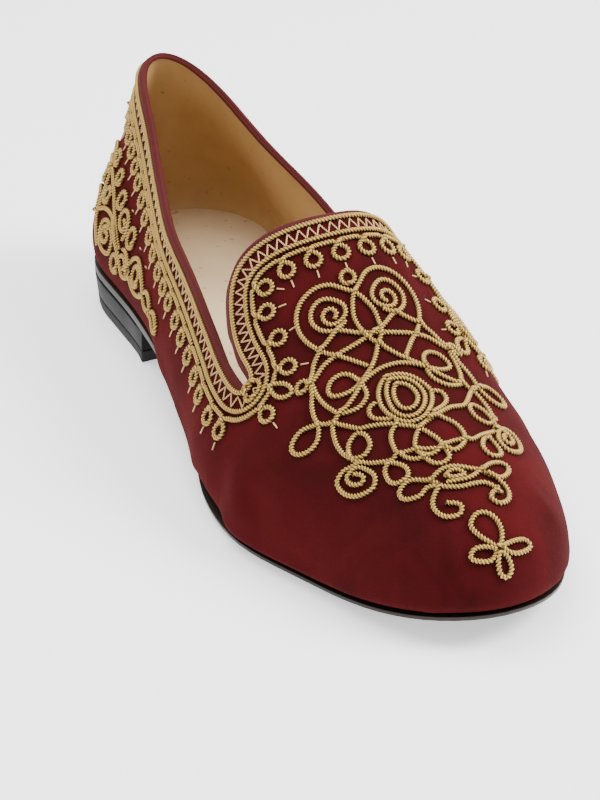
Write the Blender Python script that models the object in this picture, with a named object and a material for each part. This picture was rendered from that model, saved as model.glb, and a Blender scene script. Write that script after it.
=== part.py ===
"""Slipper loafer for the right foot: suede upper with a bound collar, sock, thin outsole, low heel.

Metres. The toe points along +X, up is +Z and the outer side of the foot faces -Y.
"""
import math

import bpy
import numpy as np
from mathutils import Vector
from mathutils.bvhtree import BVHTree

# Sizes of the whole shoe
LENGTH = 0.256
LATERAL_WIDTH = 0.0463
MEDIAL_WIDTH = 0.0446
COLLAR_HEIGHT = 0.0739
CROWN_HEIGHT = 0.0690
HEEL_HEIGHT = 0.0115
TOE_SPRING = 0.0074

# Sizes of the layers and the clearance between neighbouring pieces
WALL = 0.0018
LASTING_MARGIN = 0.0070
GAP = 0.0003
OUTSOLE_THICKNESS = 0.0030
SOLE_MARGIN = 0.0006
INSOLE_THICKNESS = 0.0022
INSOLE_TOE_EASE = 0.0018
LIFT_THICKNESS = 0.0040
HEEL_LENGTH = 0.0675
HEEL_TAPER = 0.0012
BREAST_CURVE = 0.0020
BINDING_WIDTH = 0.0032
BINDING_THICKNESS = 0.0006
BINDING_GAP = 0.0004
COLLAR_ROW = 0.0045

# Shape of the outline and of the sections
SIDE_BULGE = 0.00285
BULGE_HEIGHT = 0.0160
HEEL_LEAN = 0.0060
LEAN_START = 0.0300
LEAN_SPAN = 0.0450
TOE_SWING = 0.0014
NOTCH_RADIUS = 0.0015
HEEL_ROUND = (0.13, 2.2)
TOE_ROUND = (0.74, 1.92)
TOE_BOX_ROUND = (0.80, 2.39)
SECTION_POWER = (2.4, 1.73)
SEAT_END = 0.27
BALL_START = 0.69
BALL_END = 0.80

# Sections from heel to toe. station: share of LENGTH; lateral, medial: feather half widths as
# shares of the ball half widths; crown, ridge: shares of CROWN_HEIGHT and of MEDIAL_WIDTH;
# collar_lateral, collar_medial: width at the collar as a share of the width below it.
SECTION_COLUMNS = ("station", "lateral", "medial", "crown", "ridge", "collar_lateral", "collar_medial")
SECTION_TABLE = (
    (0.00, 0.670, 0.650, 1.377, 0.000, 0.42, 0.34),
    (0.12, 0.655, 0.639, 1.377, 0.000, 0.513, 0.43),
    (0.25, 0.660, 0.585, 1.377, 0.000, 0.718, 0.68),
    (0.33, 0.700, 0.480, 1.260, 0.010, 0.827, 0.99),
    (0.40, 0.775, 0.412, 1.140, 0.022, 0.821, 1.24),
    (0.52, 0.865, 0.620, 1.000, 0.045, 0.91, 1.16),
    (0.62, 0.990, 0.971, 0.834, 0.092, 1, 1),
    (0.70, 0.997, 1.000, 0.681, 0.045, 1, 1),
    (0.82, 0.822, 0.914, 0.558, 0.027, 1, 1),
    (1.00, 0.805, 0.897, 0.435, 0.022, 1, 1),
)

# Quarter topline. station: share of LENGTH; height: share of COLLAR_HEIGHT above the ground.
QUARTER_COLUMNS = ("station", "height")
QUARTER_TABLE = (
    (0.000, 1.000),
    (0.047, 0.980),
    (0.117, 0.925),
    (0.215, 0.812),
    (0.332, 0.712),
    (0.449, 0.632),
    (0.547, 0.557),
    (0.609, 0.516),
    (0.652, 0.492),
    (0.700, 0.472),
)

# Edge of the vamp tab, from the side notch up to the middle. station: share of LENGTH;
# climb: share of the crown height at that station.
TAB_COLUMNS = ("station", "climb")
TAB_TABLE = (
    (0.656, 0.636),
    (0.624, 0.632),
    (0.594, 0.614),
    (0.560, 0.618),
    (0.533, 0.647),
    (0.515, 0.697),
    (0.509, 0.770),
    (0.514, 0.850),
    (0.522, 0.925),
    (0.531, 0.980),
    (0.535, 1.000),
)

# Counts of the meshes
QUARTER_STEPS = 36
TAB_STEPS = 22
WALL_ROWS = 13
ROW_SMOOTHING = 2
INNER_STEP = 2
RELAX_PASSES = 90
HEEL_STEPS = 18


def table_column(table, columns, name):
    """One named column of a table."""
    place = columns.index(name)
    return np.array([row[place] for row in table])


def smooth_curve(stations, values, at):
    """Smooth curve through the points of a table."""
    stations = np.asarray(stations, float)
    values = np.asarray(values, float)
    at = np.asarray(at, float)
    step = np.diff(stations)
    rise = np.diff(values) / step
    slope = np.empty_like(values)
    slope[1:-1] = (rise[:-1] * step[1:] + rise[1:] * step[:-1]) / (step[:-1] + step[1:])
    slope[0] = rise[0]
    slope[-1] = rise[-1]
    cell = np.clip(np.searchsorted(stations, at, side="right") - 1, 0, len(step) - 1)
    t = (at - stations[cell]) / step[cell]
    left = values[cell] * (2 * t**3 - 3 * t**2 + 1) + slope[cell] * step[cell] * (t**3 - 2 * t**2 + t)
    right = values[cell + 1] * (3 * t**2 - 2 * t**3) + slope[cell + 1] * step[cell] * (t**3 - t**2)
    return left + right


def section_value(name, station):
    """Section value at a station share."""
    stations = table_column(SECTION_TABLE, SECTION_COLUMNS, "station")
    return smooth_curve(stations, table_column(SECTION_TABLE, SECTION_COLUMNS, name), station)


def ease(t):
    """Smooth step from 0 to 1."""
    t = np.clip(t, 0.0, 1.0)
    return t * t * (3.0 - 2.0 * t)


def round_end(t, power):
    """Rounded end of an outline: 1 inside, 0 at the tip."""
    t = np.clip(t, 0.0, 1.0)
    return (1.0 - t**power) ** (1.0 / power)


def sole_top(x):
    """Height of the outsole's upper face: flat seat, arch, flat tread and toe spring."""
    station = np.asarray(x, float) / LENGTH
    arch = HEEL_HEIGHT * (1.0 - ease((station - SEAT_END) / (BALL_START - SEAT_END)))
    spring = TOE_SPRING * np.clip((station - BALL_END) / (1.0 - BALL_END), 0.0, 1.2) ** 2
    return OUTSOLE_THICKNESS + arch + spring


def feather_height(x):
    """Height of the upper's lower edge, a clearance above the outsole."""
    return sole_top(x) + GAP


def outline(x):
    """Lateral and medial feather lines and the middle line between them."""
    station = np.asarray(x, float) / LENGTH
    heel = round_end((HEEL_ROUND[0] - station) / HEEL_ROUND[0], HEEL_ROUND[1])
    toe = round_end((station - TOE_ROUND[0]) / (1.0 - TOE_ROUND[0]), TOE_ROUND[1])
    middle = TOE_SWING * np.clip((station - 0.6) / 0.4, 0.0, 1.0) ** 2
    lateral = middle - section_value("lateral", station) * LATERAL_WIDTH * heel * toe
    medial = middle + section_value("medial", station) * MEDIAL_WIDTH * heel * toe
    return lateral, medial, middle


def collar_line(x):
    """Height of the quarter topline above the ground."""
    stations = table_column(QUARTER_TABLE, QUARTER_COLUMNS, "station")
    heights = table_column(QUARTER_TABLE, QUARTER_COLUMNS, "height")
    station = np.clip(np.asarray(x, float) / LENGTH, 0.0, stations[-1])
    return smooth_curve(stations, heights, station) * COLLAR_HEIGHT


def section_power(station):
    """Roundness of a section: squarer at the quarters, rounder over the forefoot."""
    fore = ease((station - 0.35) / 0.30)
    return SECTION_POWER[0] * (1.0 - fore) + SECTION_POWER[1] * fore


def crown_rise(x):
    """Height of the section above the feather line."""
    station = np.asarray(x, float) / LENGTH
    toe = round_end((station - TOE_BOX_ROUND[0]) / (1.0 - TOE_BOX_ROUND[0]), TOE_BOX_ROUND[1])
    return section_value("crown", station) * CROWN_HEIGHT * toe


def edge_normal(x, side):
    """Outward normal of the feather line in plan."""
    reach = 0.00005
    before = np.clip(x - reach, 0.0, LENGTH)
    after = np.clip(x + reach, 0.0, LENGTH)
    pick = 0 if side < 0 else 1
    run = after - before
    drift = outline(after)[pick] - outline(before)[pick]
    normal = np.stack([-drift * side, run * side], -1)
    return normal / np.linalg.norm(normal, axis=-1, keepdims=True)


def shoe_surface(x, angle):
    """Outer surface. angle runs from the lateral feather line (0) to the medial one (pi)."""
    x, angle = np.broadcast_arrays(np.asarray(x, float), np.asarray(angle, float))
    station = x / LENGTH
    lateral, medial, middle = outline(x)
    power = section_power(station)
    across = np.abs(np.cos(angle)) ** (2.0 / power)
    climb = crown_rise(x) * np.abs(np.sin(angle)) ** (2.0 / power)
    outer = np.cos(angle) >= 0
    half = np.where(outer, middle - lateral, medial - middle)
    to_collar = ease(climb / (collar_line(x) - feather_height(x)))
    drawn = np.where(outer, section_value("collar_lateral", station), section_value("collar_medial", station))
    half = half * (1.0 + (drawn - 1.0) * to_collar)
    bulge = SIDE_BULGE * (1.0 - np.clip(1.0 - climb / BULGE_HEIGHT, 0.0, 1.0) ** 2)
    bulge = bulge * (1.0 - 0.6 * to_collar * ease((0.30 - station) / 0.30))
    normal = np.where(outer[..., None], edge_normal(x, -1), edge_normal(x, 1))
    side = np.where(outer, -1.0, 1.0)
    ridge = section_value("ridge", station) * MEDIAL_WIDTH * np.sin(angle) ** 2
    lean = HEEL_LEAN * np.clip((climb - LEAN_START) / LEAN_SPAN, 0.0, 1.5) ** 1.5
    lean = lean * ease(1.0 - station / 0.30)
    forward = np.maximum(across, ease((station - 0.90) / 0.10))
    return np.stack([
        x + normal[..., 0] * bulge * forward + lean,
        middle + side * half * across + ridge + normal[..., 1] * bulge * across,
        feather_height(x) + climb,
    ], -1)


def end_spaced(count):
    """Stations from 0 to LENGTH, close together at the heel and the toe."""
    t = np.linspace(0.0, 1.0, count)
    return LENGTH * (0.5 - 0.5 * np.cos(math.pi * t))


def surface_tree():
    """Search tree of the outer surface."""
    stations = end_spaced(220)
    angles = np.linspace(0.0, math.pi, 121)
    grid = shoe_surface(stations[:, None], angles[None, :])
    rows, cols = grid.shape[:2]
    quads = []
    for i in range(rows - 1):
        for j in range(cols - 1):
            a = i * cols + j
            quads.append((a, a + cols, a + cols + 1, a + 1))
    return BVHTree.FromPolygons([tuple(p) for p in grid.reshape(-1, 3)], quads)


def snap(tree, points):
    """Nearest points of the outer surface."""
    flat = np.asarray(points).reshape(-1, 3)
    found = [tree.find_nearest(Vector(p))[0] for p in flat]
    return np.array([tuple(p) for p in found]).reshape(np.shape(points))


def arc_lengths(points):
    """Running length along a polyline."""
    steps = np.linalg.norm(np.diff(points, axis=0), axis=1)
    return np.concatenate([[0.0], np.cumsum(steps)])


def resample(points, shares):
    """Points of a polyline at shares of its length."""
    run = arc_lengths(points)
    at = np.asarray(shares) * run[-1]
    return np.stack([np.interp(at, run, points[:, k]) for k in range(points.shape[1])], -1)


def climb_angle(x, climb_share):
    """Section angle at which a share of the crown height is reached."""
    return math.asin(min(1.0, max(0.0, climb_share)) ** (section_power(x / LENGTH) / 2.0))


def half_topline(side):
    """Quarter line and tab edge of one side as surface points, with the corner's index."""
    quarter = []
    last = TAB_TABLE[0][0] * LENGTH
    for x in last * (1.0 - np.cos(np.linspace(0.0, math.pi / 2, 90))):
        climb = (collar_line(x) - feather_height(x)) / crown_rise(x)
        quarter.append((x, climb_angle(x, climb)))
    share = np.linspace(0.0, 1.0, len(TAB_TABLE))
    fine = np.linspace(0.0, 1.0, 90)[1:]
    stations = smooth_curve(share, table_column(TAB_TABLE, TAB_COLUMNS, "station"), fine) * LENGTH
    climbs = smooth_curve(share, table_column(TAB_TABLE, TAB_COLUMNS, "climb"), fine)
    tab = [(x, climb_angle(x, c)) for x, c in zip(stations, climbs)]
    path = np.array(quarter + tab)
    angles = path[:, 1] if side < 0 else math.pi - path[:, 1]
    return shoe_surface(path[:, 0], angles), len(quarter) - 1


def round_corner(points, corner, radius):
    """Replace the corner of a polyline by an arc of the given radius."""
    run = arc_lengths(points)
    tip = points[corner]
    reach = radius
    while True:
        start, end = resample(points, [(run[corner] - reach) / run[-1], (run[corner] + reach) / run[-1]])
        to_start = (start - tip) / np.linalg.norm(start - tip)
        to_end = (end - tip) / np.linalg.norm(end - tip)
        half = 0.5 * math.acos(float(np.dot(to_start, to_end)))
        if reach * math.tan(half) >= radius:
            break
        reach += 0.0001
    middle = (to_start + to_end) / np.linalg.norm(to_start + to_end)
    across = (end - start) / np.linalg.norm(end - start)
    centre = tip + middle * reach / math.cos(half)
    curve = []
    for turn in np.linspace(-1.0, 1.0, 25) * (math.pi / 2 - half):
        curve.append(centre + radius * (across * math.sin(turn) - middle * math.cos(turn)))
    before = [p for p, s in zip(points, run) if s < run[corner] - reach - 0.0005]
    after = [p for p, s in zip(points, run) if s > run[corner] + reach + 0.0005]
    return np.array(before + curve + after), len(before) + 12


def graded(count, first, last):
    """Shares from 0 to 1 whose steps change steadily from first to last."""
    steps = np.linspace(first, last, count)
    return np.concatenate([[0.0], np.cumsum(steps)]) / steps.sum()


def topline_half(side):
    """Column tops of one side, from the middle of the heel to the middle of the tab."""
    points, corner = half_topline(side)
    points, corner = round_corner(points, corner, NOTCH_RADIUS)
    quarter = resample(points[:corner + 1], graded(QUARTER_STEPS, 1.0, 0.22))
    tab = resample(points[corner:], graded(TAB_STEPS, 0.35, 1.0))
    return np.concatenate([quarter, tab[1:]])


def feather_half(side):
    """Column feet of one side, from the heel tip to the toe tip."""
    x = end_spaced(400)
    pick = 0 if side < 0 else 1
    points = np.stack([x, outline(x)[pick], feather_height(x)], -1)
    run = arc_lengths(points)
    notch = np.interp(TAB_TABLE[0][0] * LENGTH, x, run) / run[-1]
    rear = graded(QUARTER_STEPS, 1.0, 0.75) * notch
    front = notch + graded(TAB_STEPS, 1.0, 0.9) * (1.0 - notch)
    return resample(points, np.concatenate([rear, front[1:]]))


def closed_loop(maker):
    """Lateral half followed by the medial half back to the heel."""
    lateral = maker(-1)
    medial = maker(1)
    return np.concatenate([lateral, medial[-2:0:-1]])


def row_below(tree, loop, distance):
    """Row on the surface at a distance from a loop, on the side away from the foot opening."""
    along = np.roll(loop, -1, axis=0) - np.roll(loop, 1, axis=0)
    moved = []
    for point, run in zip(loop, along):
        out = tree.find_nearest(Vector(point))[1]
        down = Vector(run).cross(out).normalized()
        moved.append(tuple(Vector(point) + down * distance))
    row = np.array(moved)
    for _ in range(ROW_SMOOTHING):
        row = 0.5 * row + 0.25 * (np.roll(row, 1, axis=0) + np.roll(row, -1, axis=0))
    return snap(tree, row)


def wall_grid(tree):
    """Outer surface of the upper as rows from the feather line to the topline."""
    feet = closed_loop(feather_half)
    rows = [closed_loop(topline_half)]
    for distance in (BINDING_WIDTH, COLLAR_ROW, COLLAR_ROW):
        rows.insert(0, row_below(tree, rows[0], distance))
    tops = rows[0]
    count = len(feet)
    half = count // 2
    rise = np.linspace(0.0, 1.0, WALL_ROWS + 1)
    grid = np.empty((WALL_ROWS + 1, count, 3))
    for k in range(count):
        front = max(0.0, 1.0 - abs(k - half) / TAB_STEPS)
        arch = front * np.sin(math.pi * rise)
        bow = np.stack([0.020 * arch, 0.0 * rise, 0.030 * arch], -1)
        grid[:, k] = feet[k] * (1.0 - rise)[:, None] + tops[k] * rise[:, None] + bow
    grid[1:-1] = snap(tree, grid[1:-1])
    for step in range(RELAX_PASSES):
        side = (np.roll(grid, 1, axis=1) + np.roll(grid, -1, axis=1))[1:-1]
        mean = (side + grid[2:] + grid[:-2]) / 4.0
        grid[1:-1] = 0.3 * grid[1:-1] + 0.7 * mean
        if step % 3 == 2:
            grid[1:-1] = snap(tree, grid[1:-1])
    shares = graded(WALL_ROWS, 0.55, 1.0)
    for k in range(count):
        grid[:, k] = resample(grid[:, k], shares)
    grid[1:-1] = snap(tree, grid[1:-1])
    return np.concatenate([grid, rows[1:]])


def grid_normals(grid):
    """Outward unit normals of the wall grid."""
    along = np.roll(grid, -1, axis=1) - np.roll(grid, 1, axis=1)
    up = np.gradient(grid, axis=0)
    normal = np.cross(along, up)
    normal /= np.maximum(np.linalg.norm(normal, axis=-1, keepdims=True), 1e-12)
    return normal


def flat_normals(loop):
    """Outward unit normals in plan of a closed loop that starts at the heel on the lateral side."""
    along = np.roll(loop, -1, axis=0) - np.roll(loop, 1, axis=0)
    normal = np.stack([along[:, 1], -along[:, 0], 0.0 * along[:, 0]], -1)
    return normal / np.linalg.norm(normal, axis=-1, keepdims=True)


def moved_in(loop, distance):
    """Closed loop moved inward in plan."""
    return loop - flat_normals(loop) * distance


def with_height(loop, height):
    """Copy of a loop at given heights."""
    placed = loop.copy()
    placed[:, 2] = height
    return placed


def over_sole(loop, height):
    """Copy of a loop at a height above the outsole's upper face."""
    return with_height(loop, sole_top(loop[:, 0]) + height)


def ring_mesh(rings):
    """Closed mesh through a cycle of rings of equal length."""
    points = np.concatenate(rings)
    count = len(rings[0])
    faces = []
    for i in range(len(rings)):
        here = i * count
        there = ((i + 1) % len(rings)) * count
        for k in range(count):
            nxt = (k + 1) % count
            faces.append((here + k, here + nxt, there + nxt, there + k))
    return points, faces


def cap_faces(count, base, upward):
    """Strips between the two halves of a loop with an even number of points."""
    faces = []
    half = count // 2
    for k in range(half):
        a, b = base + k, base + k + 1
        d, c = base + (count - k) % count, base + count - k - 1
        face = [a, b, c, d]
        if k == 0:
            face = [a, b, c]
        if k == half - 1:
            face = [a, b, d]
        faces.append(tuple(face if upward else reversed(face)))
    return faces


def plate_mesh(loops):
    """Closed plate from loops stacked from bottom to top."""
    count = len(loops[0])
    points = np.concatenate(loops)
    faces = cap_faces(count, 0, False)
    for i in range(len(loops) - 1):
        here = i * count
        for k in range(count):
            nxt = (k + 1) % count
            faces.append((here + k, here + nxt, here + count + nxt, here + count + k))
    faces += cap_faces(count, (len(loops) - 1) * count, True)
    return points, faces


def make_material(name, colour, roughness, metallic=0.0):
    """Plain material of one sub-part."""
    material = bpy.data.materials.new(name)
    material.use_nodes = True
    shader = material.node_tree.nodes["Principled BSDF"]
    shader.inputs["Base Color"].default_value = (*colour, 1.0)
    shader.inputs["Roughness"].default_value = roughness
    shader.inputs["Metallic"].default_value = metallic
    return material


def make_object(name, mesh_data, material, shift, sharp_angle):
    """Object with outward faces, its material and smooth shading below the sharp angle."""
    points, faces = mesh_data
    mesh = bpy.data.meshes.new(name)
    mesh.from_pydata([tuple(p) for p in points + shift], [], faces)
    mesh.materials.append(material)
    mesh.shade_smooth()
    mesh.set_sharp_from_angle(angle=math.radians(sharp_angle))
    item = bpy.data.objects.new(name, mesh)
    bpy.context.collection.objects.link(item)
    return item


def upper_mesh(grid, normals):
    """Hollow wall with its turned-in lasting margin."""
    feet = grid[0]
    inner_feet = over_sole(moved_in(feet, WALL), GAP + WALL)
    margin = moved_in(inner_feet, LASTING_MARGIN)
    rings = [grid[i] for i in range(len(grid))]
    inner_rows = [len(grid) - 1] + list(range(len(grid) - 2, 1, -INNER_STEP))
    rings += [grid[i] - normals[i] * WALL for i in inner_rows]
    rings.append(inner_feet)
    rings.append(over_sole(margin, GAP + WALL))
    rings.append(over_sole(margin, GAP))
    return ring_mesh(rings)


def binding_mesh(grid, normals):
    """Folded strip over the topline, a clearance away from the wall on both faces."""
    top, low = grid[-1], grid[-2]
    out, low_out = normals[-1], normals[-2]
    rise = top - low
    rise -= out * np.sum(rise * out, axis=1, keepdims=True)
    rise /= np.linalg.norm(rise, axis=1, keepdims=True)
    skin = BINDING_GAP + BINDING_THICKNESS
    inner = top - out * WALL
    low_inner = low - low_out * WALL
    rings = [
        low + low_out * skin,
        top + rise * 0.4 * BINDING_GAP + out * skin,
        top - out * WALL / 2 + rise * (skin + BINDING_THICKNESS / 2),
        inner + rise * 0.4 * BINDING_GAP - out * skin,
        low_inner - low_out * skin,
        low_inner - low_out * BINDING_GAP,
        inner + rise * BINDING_GAP - out * BINDING_GAP,
        top + rise * BINDING_GAP + out * BINDING_GAP,
        low + low_out * BINDING_GAP,
    ]
    return ring_mesh(rings)


def insole_mesh(feet):
    """Sock board resting on the lasting margin inside the wall."""
    toe = ease((feet[:, 0] / LENGTH - BALL_END) / (1.0 - BALL_END))
    edge = moved_in(feet, (WALL + 2 * GAP + INSOLE_TOE_EASE * toe)[:, None])
    base = GAP + WALL + GAP
    return plate_mesh([
        over_sole(edge, base),
        over_sole(edge, base + 0.7 * INSOLE_THICKNESS),
        over_sole(moved_in(edge, 0.3 * INSOLE_THICKNESS), base + INSOLE_THICKNESS),
    ])


def outsole_mesh(feet):
    """Thin sole plate, a little wider than the feather line."""
    edge = moved_in(feet, -SOLE_MARGIN)
    chamfer = 0.25 * OUTSOLE_THICKNESS
    return plate_mesh([
        over_sole(moved_in(edge, chamfer), -OUTSOLE_THICKNESS),
        over_sole(edge, chamfer - OUTSOLE_THICKNESS),
        over_sole(edge, 0.0),
    ])


def heel_loop(inset):
    """Heel outline with its slightly hollow front face."""
    x = (HEEL_LENGTH - inset) * (1.0 - np.cos(np.linspace(0.0, math.pi / 2, HEEL_STEPS)))
    lateral, medial, _ = outline(x)
    low = np.stack([x, lateral, 0.0 * x], -1)
    high = np.stack([x, medial, 0.0 * x], -1)
    sides = np.concatenate([low, high[:0:-1]])
    across = np.linspace(0.0, 1.0, 7)[1:-1]
    breast = low[-1] * (1.0 - across)[:, None] + high[-1] * across[:, None]
    breast[:, 0] -= BREAST_CURVE * np.sin(math.pi * across)
    loop = np.concatenate([low, breast, high[:0:-1]])
    inward = np.zeros_like(loop)
    normals = flat_normals(sides)
    inward[:HEEL_STEPS] = normals[:HEEL_STEPS]
    inward[-(HEEL_STEPS - 1):] = normals[HEEL_STEPS:]
    inward[HEEL_STEPS - 1, 0] = 0.0
    inward[HEEL_STEPS + 5, 0] = 0.0
    return loop - inward * (inset - SOLE_MARGIN)


def heel_mesh(bottom, top, bottom_inset, top_inset):
    """Tapering block between two heights."""
    low = with_height(heel_loop(bottom_inset), bottom)
    high = with_height(heel_loop(top_inset), top)
    count = len(low)
    points = np.concatenate([low, high, [[HEEL_LENGTH / 2, 0.0, bottom], [HEEL_LENGTH / 2, 0.0, top]]])
    faces = []
    for k in range(count):
        nxt = (k + 1) % count
        faces.append((k, nxt, count + nxt, count + k))
        faces.append((nxt, k, 2 * count))
        faces.append((count + k, count + nxt, 2 * count + 1))
    return points, faces


def build():
    """Make every sub-part in the shoe's own frame."""
    for item in list(bpy.data.objects):
        bpy.data.objects.remove(item, do_unlink=True)
    grid = wall_grid(surface_tree())
    normals = grid_normals(grid)
    feet = grid[0]
    share = (HEEL_HEIGHT - LIFT_THICKNESS) / HEEL_HEIGHT
    meshes = {
        "upper": upper_mesh(grid, normals),
        "topline_binding": binding_mesh(grid, normals),
        "insole": insole_mesh(feet),
        "outsole": outsole_mesh(feet),
        "heel_stack": heel_mesh(LIFT_THICKNESS + GAP, HEEL_HEIGHT - GAP, share * HEEL_TAPER, 0.0),
        "heel_lift": heel_mesh(0.0, LIFT_THICKNESS, HEEL_TAPER, share * HEEL_TAPER),
    }
    everything = np.concatenate([points for points, _ in meshes.values()])
    low = everything.min(axis=0)
    high = everything.max(axis=0)
    shift = -np.array([(low[0] + high[0]) / 2, (low[1] + high[1]) / 2, low[2]])
    looks = {
        "upper": (make_material("burgundy_suede", (0.105, 0.012, 0.016), 0.88), 50),
        "topline_binding": (make_material("burgundy_ribbon", (0.150, 0.020, 0.024), 0.72), 70),
        "insole": (make_material("beige_sock_leather", (0.620, 0.450, 0.270), 0.55), 40),
        "outsole": (make_material("dark_sole_leather", (0.050, 0.026, 0.018), 0.50), 40),
        "heel_stack": (make_material("black_heel_cover", (0.022, 0.019, 0.019), 0.45), 40),
        "heel_lift": (make_material("black_rubber", (0.016, 0.016, 0.017), 0.62), 40),
    }
    for name, mesh_data in meshes.items():
        material, sharp_angle = looks[name]
        make_object(name, mesh_data, material, shift, sharp_angle)


build()
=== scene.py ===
# %% [markdown]
# # A suede slipper loafer with couched gold cord
# The solids of the shoe come from its CAD model and stay where they are. This script gives
# them their finish: napped suede, a folded ribbon binding, a tan lining, and the gold cord
# that is laid on the suede and held with tiny stitches. All sizes are in metres. The toe
# points along +X, the heel is at -X, and Z is up.

# %% Load the frame
import math

import bpy
import numpy as np
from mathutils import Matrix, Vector, kdtree
from mathutils.bvhtree import BVHTree


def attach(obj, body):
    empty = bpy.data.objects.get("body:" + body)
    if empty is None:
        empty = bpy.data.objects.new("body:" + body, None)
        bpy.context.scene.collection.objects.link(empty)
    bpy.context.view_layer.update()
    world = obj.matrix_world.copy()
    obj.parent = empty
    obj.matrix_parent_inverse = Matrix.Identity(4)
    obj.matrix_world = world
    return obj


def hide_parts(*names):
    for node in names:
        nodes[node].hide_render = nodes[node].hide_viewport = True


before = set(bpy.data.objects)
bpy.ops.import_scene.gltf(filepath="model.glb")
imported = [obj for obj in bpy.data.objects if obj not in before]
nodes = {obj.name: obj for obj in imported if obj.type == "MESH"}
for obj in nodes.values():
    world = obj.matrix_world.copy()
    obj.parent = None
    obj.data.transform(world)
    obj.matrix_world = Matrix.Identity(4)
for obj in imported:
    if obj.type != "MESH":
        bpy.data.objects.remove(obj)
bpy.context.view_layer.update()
print("pieces in the frame:", sorted(nodes))

# %% [markdown]
# ## Where a drawing in millimetres lands
# The embroidery was charted in millimetres from the tip of the heel, with the middle of the
# foot at zero. The frame has its origin under the middle of the shoe, so one shift takes a
# charted point to its place.

# %% From the chart to the frame
MM = 0.001
HEEL_TIP_X = -0.127235
MIDDLE_Y = 0.00076


def placed(x, y, z):
    """A charted point in millimetres, as a point of the frame in metres."""
    return Vector((x * MM + HEEL_TIP_X, y * MM + MIDDLE_Y, z * MM))


print("the tip of the heel is at", tuple(round(v, 4) for v in placed(0, 0, 0)))

# %% [markdown]
# ## Camera, light and floor
# The camera stands where the photograph was taken from, in front of the toe and a little to
# the outer side, and looks at the one shoe. A broad soft light stands on the inner side, so
# the outer side falls into a darker red, and a weak one fills it.

# %% Aim a thing at a point


def aim(thing, place, target):
    """Puts a camera or a light at a place and turns it to face a target."""
    thing.location = place
    away = Vector(place) - Vector(target)
    thing.rotation_euler = away.to_track_quat("Z", "Y").to_euler()


print("aim turns the -Z side of a thing to its target")

# %% Camera
CAMERA_PLACE = placed(898.2, -324.5, 450.8)
CAMERA_TARGET = (0.0125, -0.0080, 0.0185)

bpy.ops.object.select_all(action="DESELECT")
bpy.ops.object.camera_add()
camera = bpy.context.object
camera.data.sensor_fit = "VERTICAL"
camera.data.sensor_height = 24.0
camera.data.lens = 97.0
aim(camera, CAMERA_PLACE, CAMERA_TARGET)
bpy.context.scene.camera = camera
print("camera distance", round((CAMERA_PLACE - Vector(CAMERA_TARGET)).length, 3))

# %% Lights
for name, place, size, power in (
    ("key", (0.45, 0.85, 0.95), 0.7, 30.0),
    ("top", (-0.25, -0.15, 1.10), 0.9, 14.0),
    ("fill", (0.70, -0.95, 0.45), 0.9, 3.0),
):
    bpy.ops.object.light_add(type="AREA")
    lamp = bpy.context.object
    lamp.name = name + "_light"
    lamp.data.shape = "DISK"
    lamp.data.size = size
    lamp.data.energy = power
    aim(lamp, place, (0.0, 0.0, 0.03))

world = bpy.data.worlds.new("soft_room")
world.use_nodes = True
world.node_tree.nodes["Background"].inputs["Color"].default_value = (1.0, 1.0, 1.0, 1.0)
world.node_tree.nodes["Background"].inputs["Strength"].default_value = 1.10
bpy.context.scene.world = world

# %% [markdown]
# ## Small helpers for materials
# A material is a tree of nodes. A few short helpers keep the rest readable: they add a node
# and set its inputs, start a material with its main shader, mix two colours, place a pattern
# and raise a height.

# %% Node helpers


def add_node(tree, kind, settings=None, **inputs):
    """Adds a node, sets its own settings, then sets or links its inputs by name."""
    node = tree.nodes.new(kind)
    for key, value in (settings or {}).items():
        setattr(node, key, value)
    for key, value in inputs.items():
        socket = node.inputs[key.replace("_", " ")]
        if isinstance(value, bpy.types.NodeSocket):
            tree.links.new(value, socket)
        else:
            socket.default_value = value
    return node


def new_material(name, **values):
    """A material with one main shader, whose plain values are set on its own sockets."""
    material = bpy.data.materials.new(name)
    material.use_nodes = True
    shader = material.node_tree.nodes["Principled BSDF"]
    for key, value in values.items():
        shader.inputs[key.replace("_", " ")].default_value = value
    return material, material.node_tree, shader


print("a node takes its inputs by name")

# %% Mix two colours, place a pattern, raise a height


def color_mix(tree, factor, first, second, blend="MIX"):
    """Mixes two colours by a factor."""
    mix = tree.nodes.new("ShaderNodeMix")
    mix.data_type = "RGBA"
    mix.blend_type = blend
    for socket, value in ((mix.inputs[0], factor), (mix.inputs[6], first), (mix.inputs[7], second)):
        if isinstance(value, bpy.types.NodeSocket):
            tree.links.new(value, socket)
        else:
            socket.default_value = value
    return mix.outputs[2]


def object_place(tree, **mapping):
    """Object coordinates, scaled or turned by a Mapping node."""
    place = tree.nodes.new("ShaderNodeTexCoord").outputs["Object"]
    return add_node(tree, "ShaderNodeMapping", Vector=place, **mapping).outputs[0]


def bump(tree, shader, height, strength, distance):
    """Sends a height to the shader's normal."""
    node = add_node(tree, "ShaderNodeBump", Height=height, Strength=strength, Distance=distance)
    tree.links.new(node.outputs["Normal"], shader.inputs["Normal"])


print("helpers ready: colours mix, patterns sit in object space, heights tilt the normal")

# %% [markdown]
# ## Shared effects
# Grain, soft wear and specks turn up on several materials, so each is a node group that is
# built once. A group gives masks and heights only. The shader that uses them stays in the
# material.

# %% Start a node group


def new_group(name, outputs, **inputs):
    """A shader node group with a Vector input, number inputs, and number outputs."""
    tree = bpy.data.node_groups.new(name, "ShaderNodeTree")
    tree.interface.new_socket("Vector", in_out="INPUT", socket_type="NodeSocketVector")
    for key, value in inputs.items():
        socket = tree.interface.new_socket(key, in_out="INPUT", socket_type="NodeSocketFloat")
        socket.default_value = value
    for key in outputs:
        tree.interface.new_socket(key, in_out="OUTPUT", socket_type="NodeSocketFloat")
    return tree, tree.nodes.new("NodeGroupInput").outputs, tree.nodes.new("NodeGroupOutput").inputs


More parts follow.
